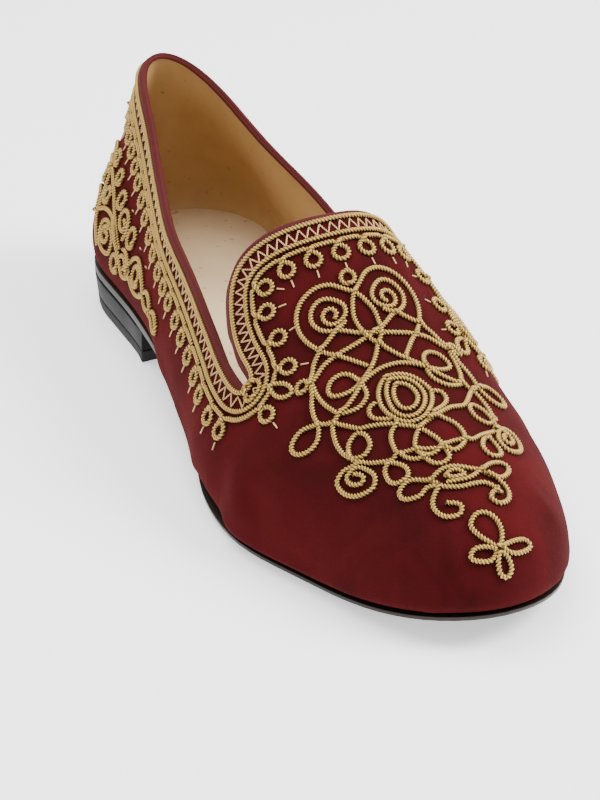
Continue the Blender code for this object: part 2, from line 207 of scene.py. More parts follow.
def math_node(tree, operation, first, second=0.5, third=None):
    """One arithmetic step between numbers or sockets."""
    node = tree.nodes.new("ShaderNodeMath")
    node.operation = operation
    for index, value in enumerate((first, second, third)):
        if isinstance(value, bpy.types.NodeSocket):
            tree.links.new(value, node.inputs[index])
        elif value is not None:
            node.inputs[index].default_value = value
    return node.outputs[0]


print("a group takes a Vector and numbers, and gives numbers")

# %% Suede nap: brushed fibres, and patches where the nap lies another way
nap_group, given, result = new_group("suede_nap", ("Patches", "Fibres", "Height"), Scale=1.0)
wide = math_node(nap_group, "MULTIPLY", given["Scale"], 38.0)
patches = add_node(nap_group, "ShaderNodeTexNoise", Vector=given["Vector"], Scale=wide, Detail=3.0,
                   Roughness=0.55, Distortion=0.6)
fine = math_node(nap_group, "MULTIPLY", given["Scale"], 2600.0)
fibres = add_node(nap_group, "ShaderNodeTexNoise", Vector=given["Vector"], Scale=fine, Detail=2.0,
                  Roughness=0.7)
tuft = math_node(nap_group, "MULTIPLY", given["Scale"], 900.0)
tufts = add_node(nap_group, "ShaderNodeTexNoise", Vector=given["Vector"], Scale=tuft, Detail=3.0,
                 Roughness=0.6)
both = math_node(nap_group, "MULTIPLY_ADD", tufts.outputs[0], 0.6, fibres.outputs[0])
spread = add_node(nap_group, "ShaderNodeMapRange", Value=patches.outputs[0], From_Min=0.36,
                  From_Max=0.66)
nap_group.links.new(spread.outputs[0], result["Patches"])
nap_group.links.new(fibres.outputs[0], result["Fibres"])
nap_group.links.new(both, result["Height"])
print("suede_nap has", len(nap_group.nodes), "nodes")

# %% Leather grain: small cells with soft creases between them
grain_group, given, result = new_group("leather_grain", ("Cells", "Height"), Scale=900.0)
cells = add_node(grain_group, "ShaderNodeTexVoronoi", {"feature": "SMOOTH_F1"},
                 Vector=given["Vector"], Scale=given["Scale"])
slow = math_node(grain_group, "MULTIPLY", given["Scale"], 0.08)
waves = add_node(grain_group, "ShaderNodeTexNoise", Vector=given["Vector"], Scale=slow, Detail=4.0)
grain = math_node(grain_group, "MULTIPLY_ADD", waves.outputs[0], 0.8, cells.outputs["Distance"])
grain_group.links.new(waves.outputs[0], result["Cells"])
grain_group.links.new(grain, result["Height"])
print("leather_grain has", len(grain_group.nodes), "nodes")

# %% Handling marks: broad soft smudges with a few small specks
marks_group, given, result = new_group("handling_marks", ("Smudges", "Specks"), Scale=1.0)
wide = math_node(marks_group, "MULTIPLY", given["Scale"], 60.0)
smudge = add_node(marks_group, "ShaderNodeTexNoise", Vector=given["Vector"], Scale=wide, Detail=5.0)
dots = math_node(marks_group, "MULTIPLY", given["Scale"], 420.0)
speck = add_node(marks_group, "ShaderNodeTexNoise", Vector=given["Vector"], Scale=dots, Detail=1.0)
sharp = add_node(marks_group, "ShaderNodeMapRange", Value=speck.outputs[0], From_Min=0.70,
                 From_Max=0.76)
marks_group.links.new(smudge.outputs[0], result["Smudges"])
marks_group.links.new(sharp.outputs[0], result["Specks"])
print("shared groups:", [g.name for g in bpy.data.node_groups])

# %% Place a group in a material


def use_group(tree, group, place, **values):
    """Adds a group node to a material and sets its numbers."""
    node = tree.nodes.new("ShaderNodeGroup")
    node.node_tree = group
    tree.links.new(place, node.inputs["Vector"])
    for key, value in values.items():
        node.inputs[key].default_value = value
    return node.outputs


print("groups to place:", len(bpy.data.node_groups))

# %% [markdown]
# ## The suede
# Suede is the brushed inner face of the hide. Its short fibres scatter light, so it has no
# shine but a soft bloom at glancing angles, which is the shader's sheen. Where a hand has
# brushed the nap the other way, the red is a little lighter or darker.

# %% Suede material
suede, tree, shader = new_material(
    "burgundy_suede", Roughness=0.92, Specular_IOR_Level=0.04, Sheen_Weight=0.10,
    Sheen_Roughness=0.55, Sheen_Tint=(0.62, 0.07, 0.06, 1.0))
place = object_place(tree)
nap = use_group(tree, nap_group, place)
marks = use_group(tree, marks_group, place, Scale=0.5)
brushed = color_mix(tree, nap["Patches"], (0.024, 0.0021, 0.0028, 1.0), (0.060, 0.0040, 0.0050, 1.0))
fibre_tone = color_mix(tree, nap["Fibres"], (0.55, 0.55, 0.55, 1.0), (1.0, 1.0, 1.0, 1.0))
toned = color_mix(tree, 0.55, brushed, fibre_tone, "MULTIPLY")
smudged = color_mix(tree, math_node(tree, "MULTIPLY", marks["Smudges"], 0.6), toned,
                    (0.041, 0.0030, 0.0038, 1.0))
# Beside each cord the suede is darker: partly the real pressed nap, partly painted shade where the
# raised cord would shadow it.
pressed_shade = add_node(tree, "ShaderNodeAttribute", {"attribute_name": "pressed_shade"})
shadowed = color_mix(tree, pressed_shade.outputs["Fac"], smudged, (0.020, 0.0030, 0.0022, 1.0))
print("suede colour comes from", len(tree.nodes), "nodes so far")

# %% The two quarters meet in a closed seam at the centre back, a fine sunken line
SEAM_HALF = 0.0007
SEAM_AHEAD = -0.118
spot = add_node(tree, "ShaderNodeSeparateXYZ", Vector=place)
aside = math_node(tree, "ABSOLUTE", math_node(tree, "SUBTRACT", spot.outputs["Y"], MIDDLE_Y))
line = add_node(tree, "ShaderNodeMapRange", {"interpolation_type": "SMOOTHSTEP"}, Value=aside,
                From_Max=SEAM_HALF, To_Min=1.0, To_Max=0.0)
behind = math_node(tree, "LESS_THAN", spot.outputs["X"], SEAM_AHEAD)
seam = math_node(tree, "MULTIPLY", line.outputs[0], behind)
sewn = color_mix(tree, math_node(tree, "MULTIPLY", seam, 0.8), shadowed, (0.010, 0.0012, 0.0012, 1.0))
tree.links.new(sewn, shader.inputs["Base Color"])
sunk = add_node(tree, "ShaderNodeBump", {"invert": True}, Height=seam, Strength=1.0,
                Distance=0.0005)
napped = add_node(tree, "ShaderNodeBump", Height=nap["Height"], Normal=sunk.outputs["Normal"],
                  Strength=0.55, Distance=0.00022)
tree.links.new(napped.outputs["Normal"], shader.inputs["Normal"])
print("suede nodes:", len(tree.nodes))

# %% Lining and sock: smooth tan leather
LINING_TONES = ((0.36, 0.205, 0.070, 1.0), (0.47, 0.29, 0.115, 1.0))
SOCK_TONES = ((0.62, 0.46, 0.27, 1.0), (0.72, 0.56, 0.36, 1.0))
GLOSS_DRIFT = 0.12


def smooth_leather(name, tones, roughness, grain_scale, gloss_level=0.4):
    """A fine leather whose colour drifts between two tones."""
    material, tree, shader = new_material(name, Roughness=roughness, Specular_IOR_Level=gloss_level)
    place = object_place(tree)
    grain = use_group(tree, grain_group, place, Scale=grain_scale)
    marks = use_group(tree, marks_group, place, Scale=0.8)
    base = color_mix(tree, grain["Cells"], *tones)
    worn = color_mix(tree, marks["Specks"], base, tuple(v * 0.72 for v in tones[0][:3]) + (1.0,))
    tree.links.new(worn, shader.inputs["Base Color"])
    gloss = add_node(tree, "ShaderNodeMapRange", Value=marks["Smudges"],
                     To_Min=roughness - GLOSS_DRIFT, To_Max=roughness + GLOSS_DRIFT)
    tree.links.new(gloss.outputs[0], shader.inputs["Roughness"])
    bump(tree, shader, grain["Height"], 0.25, 0.00012)
    return material


lining = smooth_leather("tan_lining", LINING_TONES, 0.52, 1500.0)
sock_leather = smooth_leather("pale_sock", SOCK_TONES, 0.48, 1300.0)
print("inside:", lining.name, "and", sock_leather.name)

# %% Sole leather, heel cover and rubber
SOLE_TONES = ((0.0080, 0.0048, 0.0036, 1.0), (0.018, 0.0105, 0.0075, 1.0))
HEEL_TONES = ((0.0040, 0.0040, 0.0044, 1.0), (0.010, 0.0098, 0.0102, 1.0))
RUBBER_TONES = ((0.0080, 0.0080, 0.0080, 1.0), (0.022, 0.021, 0.020, 1.0))
sole_leather = smooth_leather("dark_sole_leather", SOLE_TONES, 0.46, 700.0, 0.22)
heel_cover = smooth_leather("black_heel_cover", HEEL_TONES, 0.52, 1100.0, 0.10)
lift_rubber = smooth_leather("heel_lift_rubber", RUBBER_TONES, 0.72, 2600.0, 0.2)
print("below:", sole_leather.name, heel_cover.name, lift_rubber.name)

# %% Ribbon binding: a fine ribbed weave, folded over the raw edge
binding_ribbon, tree, shader = new_material(
    "burgundy_ribbon", Roughness=0.70, Specular_IOR_Level=0.12, Sheen_Weight=0.05,
    Sheen_Tint=(0.75, 0.20, 0.18, 1.0))
place = object_place(tree)
ribs = add_node(tree, "ShaderNodeTexWave", {"wave_type": "BANDS", "bands_direction": "X"},
                Vector=place, Scale=620.0, Distortion=1.2, Detail=1.0)
marks = use_group(tree, marks_group, place)
ribbed = color_mix(tree, ribs.outputs["Fac"], (0.040, 0.0042, 0.0040, 1.0),
                   (0.078, 0.0085, 0.0080, 1.0))
tree.links.new(color_mix(tree, marks["Smudges"], ribbed, (0.058, 0.0060, 0.0058, 1.0)),
               shader.inputs["Base Color"])
bump(tree, shader, ribs.outputs["Fac"], 0.5, 0.00014)
print(binding_ribbon.name, "has", len(tree.nodes), "nodes")

# %% Gold cord: gold where a ply stands up, with painted shade, an olive brown, in the groove between plies


def thread_material(name, groove, crest, metal, roughness):
    """A metal-wrapped thread. The attribute ply says how high a point stands on its ply; low points
    get the groove colour, which is painted shade.
    """
    material, tree, shader = new_material(name, Metallic=metal, Roughness=roughness)
    ply = add_node(tree, "ShaderNodeAttribute", {"attribute_name": "ply"})
    place = object_place(tree)
    wrap = add_node(tree, "ShaderNodeTexNoise", Vector=place, Scale=3400.0, Detail=2.0)
    drift = add_node(tree, "ShaderNodeTexNoise", Vector=place, Scale=120.0, Detail=2.0)
    lit_share = math_node(tree, "POWER", ply.outputs["Fac"], 1.5)
    lit = color_mix(tree, lit_share, groove, crest)
    dull = tuple(v * 0.62 for v in crest[:3]) + (1.0,)
    spun = color_mix(tree, wrap.outputs[0], dull, lit)
    aged = color_mix(tree, drift.outputs[0], spun, lit)
    tree.links.new(aged, shader.inputs["Base Color"])
    bump(tree, shader, wrap.outputs[0], 0.5, 0.00010)
    return material


# The first colour of each thread is painted shade for the groove between plies, the second is its own
# gold.
gold_cord = thread_material(
    "gold_cord", (0.050, 0.026, 0.004, 1.0), (0.66, 0.42, 0.115, 1.0), metal=0.70, roughness=0.40)
pale_thread = thread_material(
    "pale_gold_thread", (0.36, 0.20, 0.08, 1.0), (0.78, 0.53, 0.26, 1.0), metal=0.40, roughness=0.46)
print("materials:", len(bpy.data.materials))

# %% Floor: a pale matt sweep
floor_paint, tree, shader = new_material(
    "pale_floor", Roughness=0.85, Emission_Color=(1.0, 1.0, 1.0, 1.0), Emission_Strength=0.70)
place = object_place(tree)
clouds = add_node(tree, "ShaderNodeTexNoise", Vector=place, Scale=3.0, Detail=2.0)
tree.links.new(color_mix(tree, clouds.outputs[0], (0.93, 0.93, 0.935, 1.0), (0.95, 0.95, 0.955, 1.0)),
               shader.inputs["Base Color"])
bpy.ops.object.select_all(action="DESELECT")
bpy.ops.mesh.primitive_plane_add(size=8.0, location=(0.0, 0.0, 0.0))
floor = bpy.context.object
floor.name = "floor"
floor.data.materials.append(floor_paint)
print("floor size", tuple(floor.dimensions))

# %% [markdown]
# ## Dressing a solid
# The solids arrive as loose triangles. A working copy has its corners joined and its
# triangles paired to quads, and then a modifier rounds it: subdivision for the soft upper
# and the ribbon, and a small bevel for the hard sole and heel.

# %% Copy a solid and join its corners


def working_copy(node, name, as_quads=True):
    """A joined copy of a solid, alone selected and active."""
    bpy.ops.object.select_all(action="DESELECT")
    source = nodes[node]
    piece = source.copy()
    piece.data = source.data.copy()
    piece.name = name
    bpy.context.scene.collection.objects.link(piece)
    piece.select_set(True)
    bpy.context.view_layer.objects.active = piece
    bpy.ops.object.mode_set(mode="EDIT")
    bpy.ops.mesh.select_all(action="SELECT")
    bpy.ops.mesh.remove_doubles(threshold=0.000002)
    if as_quads:
        bpy.ops.mesh.tris_convert_to_quads(face_threshold=0.9, shape_threshold=0.9)
    bpy.ops.mesh.select_all(action="DESELECT")
    bpy.ops.object.mode_set(mode="OBJECT")
    piece.data.materials.clear()
    return piece


print("solids to dress:", len(nodes))

# %% Apply a modifier, and read the points of a piece


def apply_modifier(piece, kind, **settings):
    """Adds a modifier with its settings and applies it."""
    bpy.context.view_layer.objects.active = piece
    modifier = piece.modifiers.new(kind.lower(), kind)
    for key, value in settings.items():
        setattr(modifier, key, value)
    bpy.ops.object.modifier_apply(modifier=modifier.name)


def points_of(piece):
    """The vertices of a piece as an array."""
    flat = np.empty(len(piece.data.vertices) * 3)
    piece.data.vertices.foreach_get("co", flat)
    return flat.reshape(-1, 3)


print("the upper's solid has", len(points_of(nodes["upper"])), "points")

# %% Search trees for faces and for points


def search_tree(mesh, only=None):
    """A tree of a mesh's faces, or of those with one material number."""
    return BVHTree.FromPolygons(
        [corner.co.copy() for corner in mesh.vertices],
        [tuple(f.vertices) for f in mesh.polygons if only is None or f.material_index == only])


def point_tree(points):
    """A tree that finds the nearest of some points."""
    tree = kdtree.KDTree(len(points))
    for index, point in enumerate(points):
        tree.insert(point, index)
    tree.balance()
    return tree


solid_tree = search_tree(nodes["topline_binding"].data)
print("the binding's solid has", len(nodes["topline_binding"].data.polygons), "faces")

# %% Show a piece in place of its solid


def stand_for(piece, node):
    """The piece is shown in place of a solid and moves with the shoe."""
    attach(piece, "root")
    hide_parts(node)
    print(piece.name, "has", len(piece.data.polygons), "faces")


# %% Tell the outer skin from the inner one
AXIS_END = 0.095
AXIS_HEIGHT = 0.020
SETTLE_PASSES = 3
RELAX_BEYOND = 0.0015
OUTER, INNER = 0, 1


def far_from_binding(point):
    """True away from the binding, where the skin may be relaxed."""
    return solid_tree.find_nearest(point)[3] > RELAX_BEYOND


def faces_out(centre, normal):
    """True on the outer skin, which faces away from a line through the middle of the foot."""
    axis = Vector((min(max(centre.x, -AXIS_END), AXIS_END), 0.0, AXIS_HEIGHT))
    return (centre - axis).dot(normal) > 0.0


def settle(mesh, outside):
    """A face that disagrees with most of the faces round it takes their side."""
    around = {}
    for face in mesh.polygons:
        for corner in face.vertices:
            around.setdefault(corner, []).append(face.index)
    for _ in range(SETTLE_PASSES):
        share = {corner: np.mean([outside[i] for i in faces]) for corner, faces in around.items()}
        outside = [np.mean([share[c] for c in face.vertices]) > 0.5 for face in mesh.polygons]
    return outside


print("a point is on the outer skin where it faces away from the axis")

# %% Upper: relaxed beside the notches, with suede outside and lining inside
NOTCH_FROM, NOTCH_TO, NOTCH_INNER = 0.148, 0.176, 0.020

upper = working_copy("upper", "suede_upper")
for corner in upper.data.vertices:
    x, y = corner.co.x - HEEL_TIP_X, abs(corner.co.y - MIDDLE_Y)
    corner.select = NOTCH_FROM < x < NOTCH_TO and y > NOTCH_INNER and far_from_binding(corner.co)
bpy.ops.object.mode_set(mode="EDIT")
bpy.ops.mesh.select_mode(type="VERT")
bpy.ops.mesh.vertices_smooth(factor=0.5, repeat=12)
bpy.ops.object.mode_set(mode="OBJECT")
bpy.ops.object.shade_smooth()
upper.data.materials.append(suede)
upper.data.materials.append(lining)
outside = settle(upper.data, [faces_out(f.center, f.normal) for f in upper.data.polygons])
for face, outer in zip(upper.data.polygons, outside):
    face.material_index = OUTER if outer else INNER
print("outer faces:", sum(outside), "of", len(outside))

# %% [markdown]
# At the topline the edge is skived thin before the ribbon is folded over it. The solid keeps
# one wall thickness all over, so here the inner skin is drawn towards the outer one, most at
# the edge and not at all a little way down.

# %% Skive the edge
EDGE_SHARE = 0.42
SKIVED_TO = 0.016


def ease(share):
    """A smooth step from 0 to 1."""
    share = min(max(share, 0.0), 1.0)
    return share * share * (3.0 - 2.0 * share)


def corners_of(piece, number):
    """The corners of the faces with one material number, in order."""
    return sorted({c for f in piece.data.polygons if f.material_index == number for c in f.vertices})


outer_skin = search_tree(upper.data, OUTER)
on_outside = set(corners_of(upper, OUTER))
for corner in upper.data.vertices:
    if corner.index in on_outside:
        continue
    down = solid_tree.find_nearest(corner.co)[3]
    if down > SKIVED_TO:
        continue
    foot = outer_skin.find_nearest(corner.co)[0]
    keep = EDGE_SHARE + (1.0 - EDGE_SHARE) * ease(down / SKIVED_TO)
    corner.co = foot + (corner.co - foot) * keep
apply_modifier(upper, "SUBSURF", levels=2, render_levels=2)
stand_for(upper, "upper")

# %% [markdown]
# Suede that was pulled over a last isn't perfectly even. Soft troughs and ridges lie where the
# hide was drawn in: across the vamp behind the toe, beside the toe, at the arch, and below
# the two notches. The back seam is a narrow groove between two low ridges. Each is charted as
# a line, with its half width and its height in millimetres; below zero it is a trough.

# %% Soft troughs and ridges, placed one by one: (view, half width, height, points)
FOLDS = (
    ("above", 5.0, -0.60, ((214, -31), (219, -26), (224, -20), (230, -17))),
    ("above", 4.5, 0.40, ((222, -33), (229, -27), (235, -21), (241, -15))),
    ("above", 5.0, -0.50, ((240, 8), (243, 13), (241, 19), (236, 24))),
    ("above", 4.0, 0.45, ((230, 19), (234, 24), (232, 29))),
    ("outer", 4.5, -0.70, ((183, 24), (190, 17), (198, 12))),
    ("outer", 4.0, 0.45, ((176, 25), (181, 17), (187, 10))),
    ("outer", 4.5, -0.55, ((166, 22), (170, 15), (176, 8))),
    ("outer", 6.0, -0.45, ((97, 26), (106, 17), (118, 10))),
    ("outer", 5.0, 0.40, ((84, 24), (93, 16), (104, 9))),
    ("inner", 4.5, -0.60, ((184, 24), (191, 16), (199, 10))),
    ("inner", 4.0, 0.40, ((174, 24), (180, 15), (187, 8))),
    ("inner", 6.0, -0.55, ((92, 27), (102, 18), (115, 11))),
    ("inner", 5.0, 0.40, ((108, 28), (118, 20), (130, 13))),
    ("behind", 0.8, -0.45, ((0, 18), (0, 62))),
    ("behind", 0.9, 0.16, ((-2.2, 18), (-2.2, 62))),
    ("behind", 0.9, 0.16, ((2.2, 18), (2.2, 62))),
)
FOLD_FADES_TO = 0.006
FOLD_STEP = 0.5
FOLD_ENDS = 0.6
VIEWS = {
    "above": lambda x, y: (placed(x, y, 120.0), (0.0, 0.0, -1.0)),
    "outer": lambda x, z: (placed(x, -120.0, z), (0.0, 1.0, 0.0)),
    "inner": lambda x, z: (placed(x, 120.0, z), (0.0, -1.0, 0.0)),
    "behind": lambda y, z: (placed(-60.0, y, z), (1.0, 0.0, 0.0)),
}
print(len(FOLDS), "folds charted")

# %% Just above the sole the suede swells a little over the slim edge, forward of the heel seat
FEATHER_BULGE = 0.0008
FEATHER_REACH = 0.007
SLIM_FROM, SLIM_FULL = 0.070, 0.105


def near_share(distance, reach):
    """1 at a line, easing to 0 at its reach."""
    return ease(1.0 - distance / reach)


def slim_share(x):
    """0 at the heel seat, 1 where the sole edge is slim."""
    return ease((x - HEEL_TIP_X - SLIM_FROM) / (SLIM_FULL - SLIM_FROM))


print("slim edge from", SLIM_FROM * 1000, "mm ahead of the heel tip")

# %% Press the folds into the outer skin
shell = search_tree(upper.data, OUTER)
lining_corners = set(corners_of(upper, INNER))
heights = {corner: 0.0 for corner in corners_of(upper, OUTER) if corner not in lining_corners}
for view, half_width, height, charted in FOLDS:
    spots, swells = [], []
    lengths = [math.dist(start, end) for start, end in zip(charted, charted[1:])]
    passed = 0.0
    for start, end, length in zip(charted, charted[1:], lengths):
        for share in np.arange(0.0, 1.0, FOLD_STEP / length):
            u, v = (a + (b - a) * share for a, b in zip(start, end))
            origin, direction = VIEWS[view](u, v)
            spot = shell.ray_cast(origin, Vector(direction))[0]
            if spot is not None:
                spots.append(spot)
                swell = math.sin(math.pi * (passed + share * length) / sum(lengths))
                swells.append(swell ** FOLD_ENDS)
        passed += length
    fold_tree = point_tree(spots)
    for corner in heights:
        _, index, distance = fold_tree.find(upper.data.vertices[corner].co)
        heights[corner] += height * MM * near_share(distance, 2.0 * half_width * MM) * swells[index]
skin_normals = {corner: upper.data.vertices[corner].normal.copy() for corner in heights}
folded = points_of(upper)
sole_tree = search_tree(nodes["outsole"].data)
for corner, height in heights.items():
    edge_share = min(solid_tree.find_nearest(Vector(folded[corner]))[3] / FOLD_FADES_TO, 1.0)
    normal = skin_normals[corner]
    rise = sole_tree.find_nearest(Vector(folded[corner]))[3]
    bulge = FEATHER_BULGE * near_share(rise, FEATHER_REACH) * slim_share(folded[corner][0])
    outward = np.array((normal.x, normal.y, 0.0))
    folded[corner] += np.array(normal) * height * edge_share + outward * bulge
upper.data.vertices.foreach_set("co", folded.ravel())
upper.data.update()
print("folds:", len(FOLDS), "deepest", round(min(heights.values()) * 1000, 2), "mm")

# %% Binding
OUTER_SHARE = 0.6
INNER_SHARE = 0.46
CREST_ABOVE = 0.00105
LEG_FROM = 0.0018
LEG_SHORTENED = 0.0016

binding = working_copy("topline_binding", "ribbon_binding")
wall_tree = search_tree(nodes["upper"].data)
crest = [c.co.copy() for c in binding.data.vertices if wall_tree.find_nearest(c.co)[3] > CREST_ABOVE]
crest_tree = point_tree(crest)
shoulders, legs = [], []
for corner in binding.data.vertices:
    gap = crest_tree.find(corner.co)[2]
    if gap > LEG_FROM:
        legs.append(corner.index)
    elif gap > 0.0:
        shoulders.append(corner.co.copy())
shoulder_tree = point_tree(shoulders)
for index in legs:
    corner = binding.data.vertices[index]
    rise = shoulder_tree.find(corner.co)[0] - corner.co
    corner.co += rise.normalized() * LEG_SHORTENED
for corner in binding.data.vertices:
    foot, normal, _, _ = outer_skin.find_nearest(corner.co)
    height = (corner.co - foot).dot(normal)
    share = OUTER_SHARE if height > 0.0 else INNER_SHARE
    corner.co += normal * height * (share - 1.0)
print("ribbon:", len(crest), "crest points,", len(legs), "edge points")
apply_modifier(binding, "SUBSURF", levels=2, render_levels=2)
bpy.ops.object.shade_smooth()
binding.data.materials.append(binding_ribbon)
stand_for(binding, "topline_binding")

# %% Slim the edge of the sole in front of the heel: pared from below and drawn in
PARED_BAND = 0.007
FLAT_FROM = 0.8
DRAWN_IN = {"top": 0.0009, "wall": 0.0011, "foot": 0.0018}
PARED_UP = {"top": 0.0, "wall": 0.0011, "foot": 0.0010}


def pare_edge(part):
    """Moves only the rim, so the tread keeps its place on the ground."""
    bpy.ops.object.mode_set(mode="EDIT")
    bpy.ops.mesh.select_mode(type="FACE")
    bpy.ops.mesh.select_all(action="DESELECT")
    bpy.ops.object.mode_set(mode="OBJECT")
    for face in part.data.polygons:
        face.select = face.normal.z < -FLAT_FROM
    bpy.ops.object.mode_set(mode="EDIT")
    bpy.ops.mesh.inset(thickness=PARED_BAND, use_boundary=True)
    bpy.ops.object.mode_set(mode="OBJECT")
    touching = {}
    for face in part.data.polygons:
        for corner in face.vertices:
            touching.setdefault(corner, []).append(face.normal.copy())
    for corner, normals in touching.items():
        sides = [n for n in normals if abs(n.z) < FLAT_FROM]
        if not sides:
            continue
        if any(n.z > FLAT_FROM for n in normals):
            place = "top"
        else:
            place = "foot" if any(n.z < -FLAT_FROM for n in normals) else "wall"
        out = sum((Vector((n.x, n.y, 0.0)).normalized() for n in sides), Vector()).normalized()
        point = part.data.vertices[corner].co
        share = slim_share(point.x)
        point -= out * DRAWN_IN[place] * share
        point.z += PARED_UP[place] * share


print("the edge is pared by", PARED_UP["wall"] * 1000, "mm")

# %% Insole, outsole and heel: joined copies with a small bevel on their sharp edges
for node, name, material, slot_name, width in (
    ("insole", "sock_and_insole", sock_leather, "sock", 0.0005),
    ("outsole", "leather_outsole", sole_leather, "sole_leather", 0.0006),
    ("heel_stack", "covered_heel", heel_cover, "heel_cover", 0.0004),
    ("heel_lift", "rubber_heel_lift", lift_rubber, "lift_rubber", 0.0005),
):
    part = working_copy(node, name, as_quads=False)
    if node == "outsole":
        pare_edge(part)
    bpy.ops.object.mode_set(mode="EDIT")
    bpy.ops.mesh.select_all(action="SELECT")
    bpy.ops.mesh.dissolve_limited(angle_limit=math.radians(1.0))
    bpy.ops.object.mode_set(mode="OBJECT")
    apply_modifier(part, "BEVEL", width=width, segments=3, limit_method="ANGLE",
                   angle_limit=math.radians(50), harden_normals=False)
    apply_modifier(part, "TRIANGULATE")
    for corner in part.data.vertices:
        corner.co.z = max(corner.co.z, 0.0)
    bpy.ops.object.shade_smooth_by_angle(angle=math.radians(35))
    part.data.materials.append(material)
    stand_for(part, node)

# %% [markdown]
# ## The skin that carries the embroidery
# Every cord lies on the outer skin. A search tree of that skin gives the nearest place and
# normal for any point, and the distance from the binding, measured at each corner of the
# skin, gives lines that run at a chosen distance from it all round the opening.

# %% Outer skin as a search tree
skin_points = points_of(upper)
skin_faces = [tuple(face.vertices) for face in upper.data.polygons if face.material_index == OUTER]
skin = search_tree(upper.data, OUTER)
binding_tree = search_tree(binding.data)
from_binding = np.full(len(skin_points), 9.0)
for corner in corners_of(upper, OUTER):
    from_binding[corner] = binding_tree.find_nearest(Vector(skin_points[corner]))[3]
print("outer skin:", len(skin_faces), "faces")

# %% Cord sizes
CORD_RADIUS = 0.00082
CORD_LAY = 0.0020
CORD_STEP = 0.00025
SIT_DEPTH = 0.62
THREAD_RADIUS = 0.00029
THREAD_LAY = 0.0016
print("cord", CORD_RADIUS * 2000, "mm thick, thread", THREAD_RADIUS * 2000, "mm thick")

# %% Space the points of a line evenly, and smooth it


def even(line, step, closed=False):
    """The same line with its points an even step apart."""
    if closed:
        line = np.vstack([line, line[:1]])
    lengths = np.concatenate([[0.0], np.cumsum(np.linalg.norm(np.diff(line, axis=0), axis=1))])
    count = max(int(round(lengths[-1] / step)), 2)
    places = np.linspace(0.0, lengths[-1], count + 1)
    if closed:
        places = places[:-1]
    return np.column_stack([np.interp(places, lengths, line[:, axis]) for axis in range(3)])


def smoothed(line, passes, closed=False):
    """Each point moves half way to the middle of its neighbours, some times over."""
    line = line.copy()
    for _ in range(passes):
        middle = (np.roll(line, 1, axis=0) + np.roll(line, -1, axis=0)) / 2
        moved = (line + middle) / 2
        if not closed:
            moved[0], moved[-1] = line[0], line[-1]
        line = moved
    return line


print("three even points:", even(np.array(((0.0, 0, 0), (1.0, 0, 0))), 0.5)[:, 0])

# %% Find and join the pieces of a line of equal distance
JOIN_GAP = 0.008
SHORTEST_CHAIN = 6


def crossing_point(edge, distance):
    """Where an edge of the skin passes a distance from the binding."""
    low, high = edge
    share = (distance - from_binding[low]) / (from_binding[high] - from_binding[low])
    return skin_points[low] + share * (skin_points[high] - skin_points[low])


def joined_chains(chains):
    """Joins the longest chain with those whose ends lie near its own."""
    chains = sorted((c for c in chains if len(c) > SHORTEST_CHAIN), key=len, reverse=True)
    line = chains.pop(0)
    while chains:
        gaps = []
        for number, chain in enumerate(chains):
            for turned in (False, True):
                start = chain[-1] if turned else chain[0]
                gaps.append((float(np.linalg.norm(start - line[-1])), number, turned))
        gap, number, turned = min(gaps)
        if gap > JOIN_GAP:
            break
        chain = chains.pop(number)
        line += chain[::-1] if turned else chain
    return line


print("chains join over gaps up to", JOIN_GAP * 1000, "mm")

# %% Follow a line of equal distance over the skin
COARSE_STEP = 0.0008
LINE_PASSES = 6


def line_at(distance):
    """The closed line on the skin at a distance from the binding, from the centre back."""
    segments = {}
    for face in skin_faces:
        crossings = []
        for first, second in zip(face, face[1:] + face[:1]):
            low, high = sorted((first, second))
            before, after = from_binding[low] - distance, from_binding[high] - distance
            if (before < 0.0) != (after < 0.0):
                crossings.append((low, high))
        if len(crossings) == 2:
            for here, there in (crossings, crossings[::-1]):
                segments.setdefault(here, []).append(there)
    chains = []
    left = set(segments)
    while left:
        ends = [edge for edge in left if sum(other in left for other in segments[edge]) < 2]
        chain = [min(ends or left)]
        left.discard(chain[0])
        while True:
            onward = [edge for edge in segments[chain[-1]] if edge in left]
            if not onward:
                break
            left.discard(onward[0])
            chain.append(onward[0])
        chains.append([crossing_point(edge, distance) for edge in chain])
    line = np.array(joined_chains(chains))
    line = np.roll(line, -int(np.argmin(line[:, 0])), axis=0)
    if line[len(line) // 8, 1] > 0.0:
        line = np.roll(line[::-1], 1, axis=0)
    return even(smoothed(even(line, COARSE_STEP, True), LINE_PASSES, True), CORD_STEP, True)


print("a line is followed over", len(skin_faces), "faces in steps of", CORD_STEP * 1000, "mm")

# %% Lines for the three border cords
EDGE_CORD_AT = 0.0008
INNER_CORD_AT = 0.0059
RING_CORD_AT = 0.0082
edge_line = line_at(EDGE_CORD_AT)
inner_line = line_at(INNER_CORD_AT)
ring_line = line_at(RING_CORD_AT)
for label, line in (("edge", edge_line), ("inner", inner_line), ("ring", ring_line)):
    print(label, "line is", round(len(line) * CORD_STEP * 1000), "mm long")

# %% [markdown]
# ## A twisted cord
# The gold cord is two plies twisted together. Its section is a figure with two lobes, and
# the section turns as it goes along, so the lobes wind into a rope. In Blender that is a
# curve with the section as its bevel object and a tilt that grows along it. Where a cord
# crosses one that is laid already, it rides up over it.

# %% The section of a cord


def section(name, radius, depth, sides):
    """A closed flat curve with two lobes; depth is the share that the groove sinks."""
    data = bpy.data.curves.new(name, "CURVE")
    data.dimensions = "2D"
    spline = data.splines.new("POLY")
    spline.points.add(sides - 1)
    for index in range(sides):
        turn = 2 * math.pi * index / sides
        reach = radius * (1 - depth / 2 + depth / 2 * math.cos(2 * turn))
        spline.points[index].co = (reach * math.cos(turn), reach * math.sin(turn), 0.0, 1.0)
    spline.use_cyclic_u = True
    shape = bpy.data.objects.new(name, data)
    bpy.context.scene.collection.objects.link(shape)
    return shape


cord_section = section("cord_section", CORD_RADIUS, 0.44, 8)
thread_section = section("thread_section", THREAD_RADIUS, 0.30, 6)
print("cord is", CORD_RADIUS * 2000, "mm thick and turns once in", CORD_LAY * 1000, "mm")

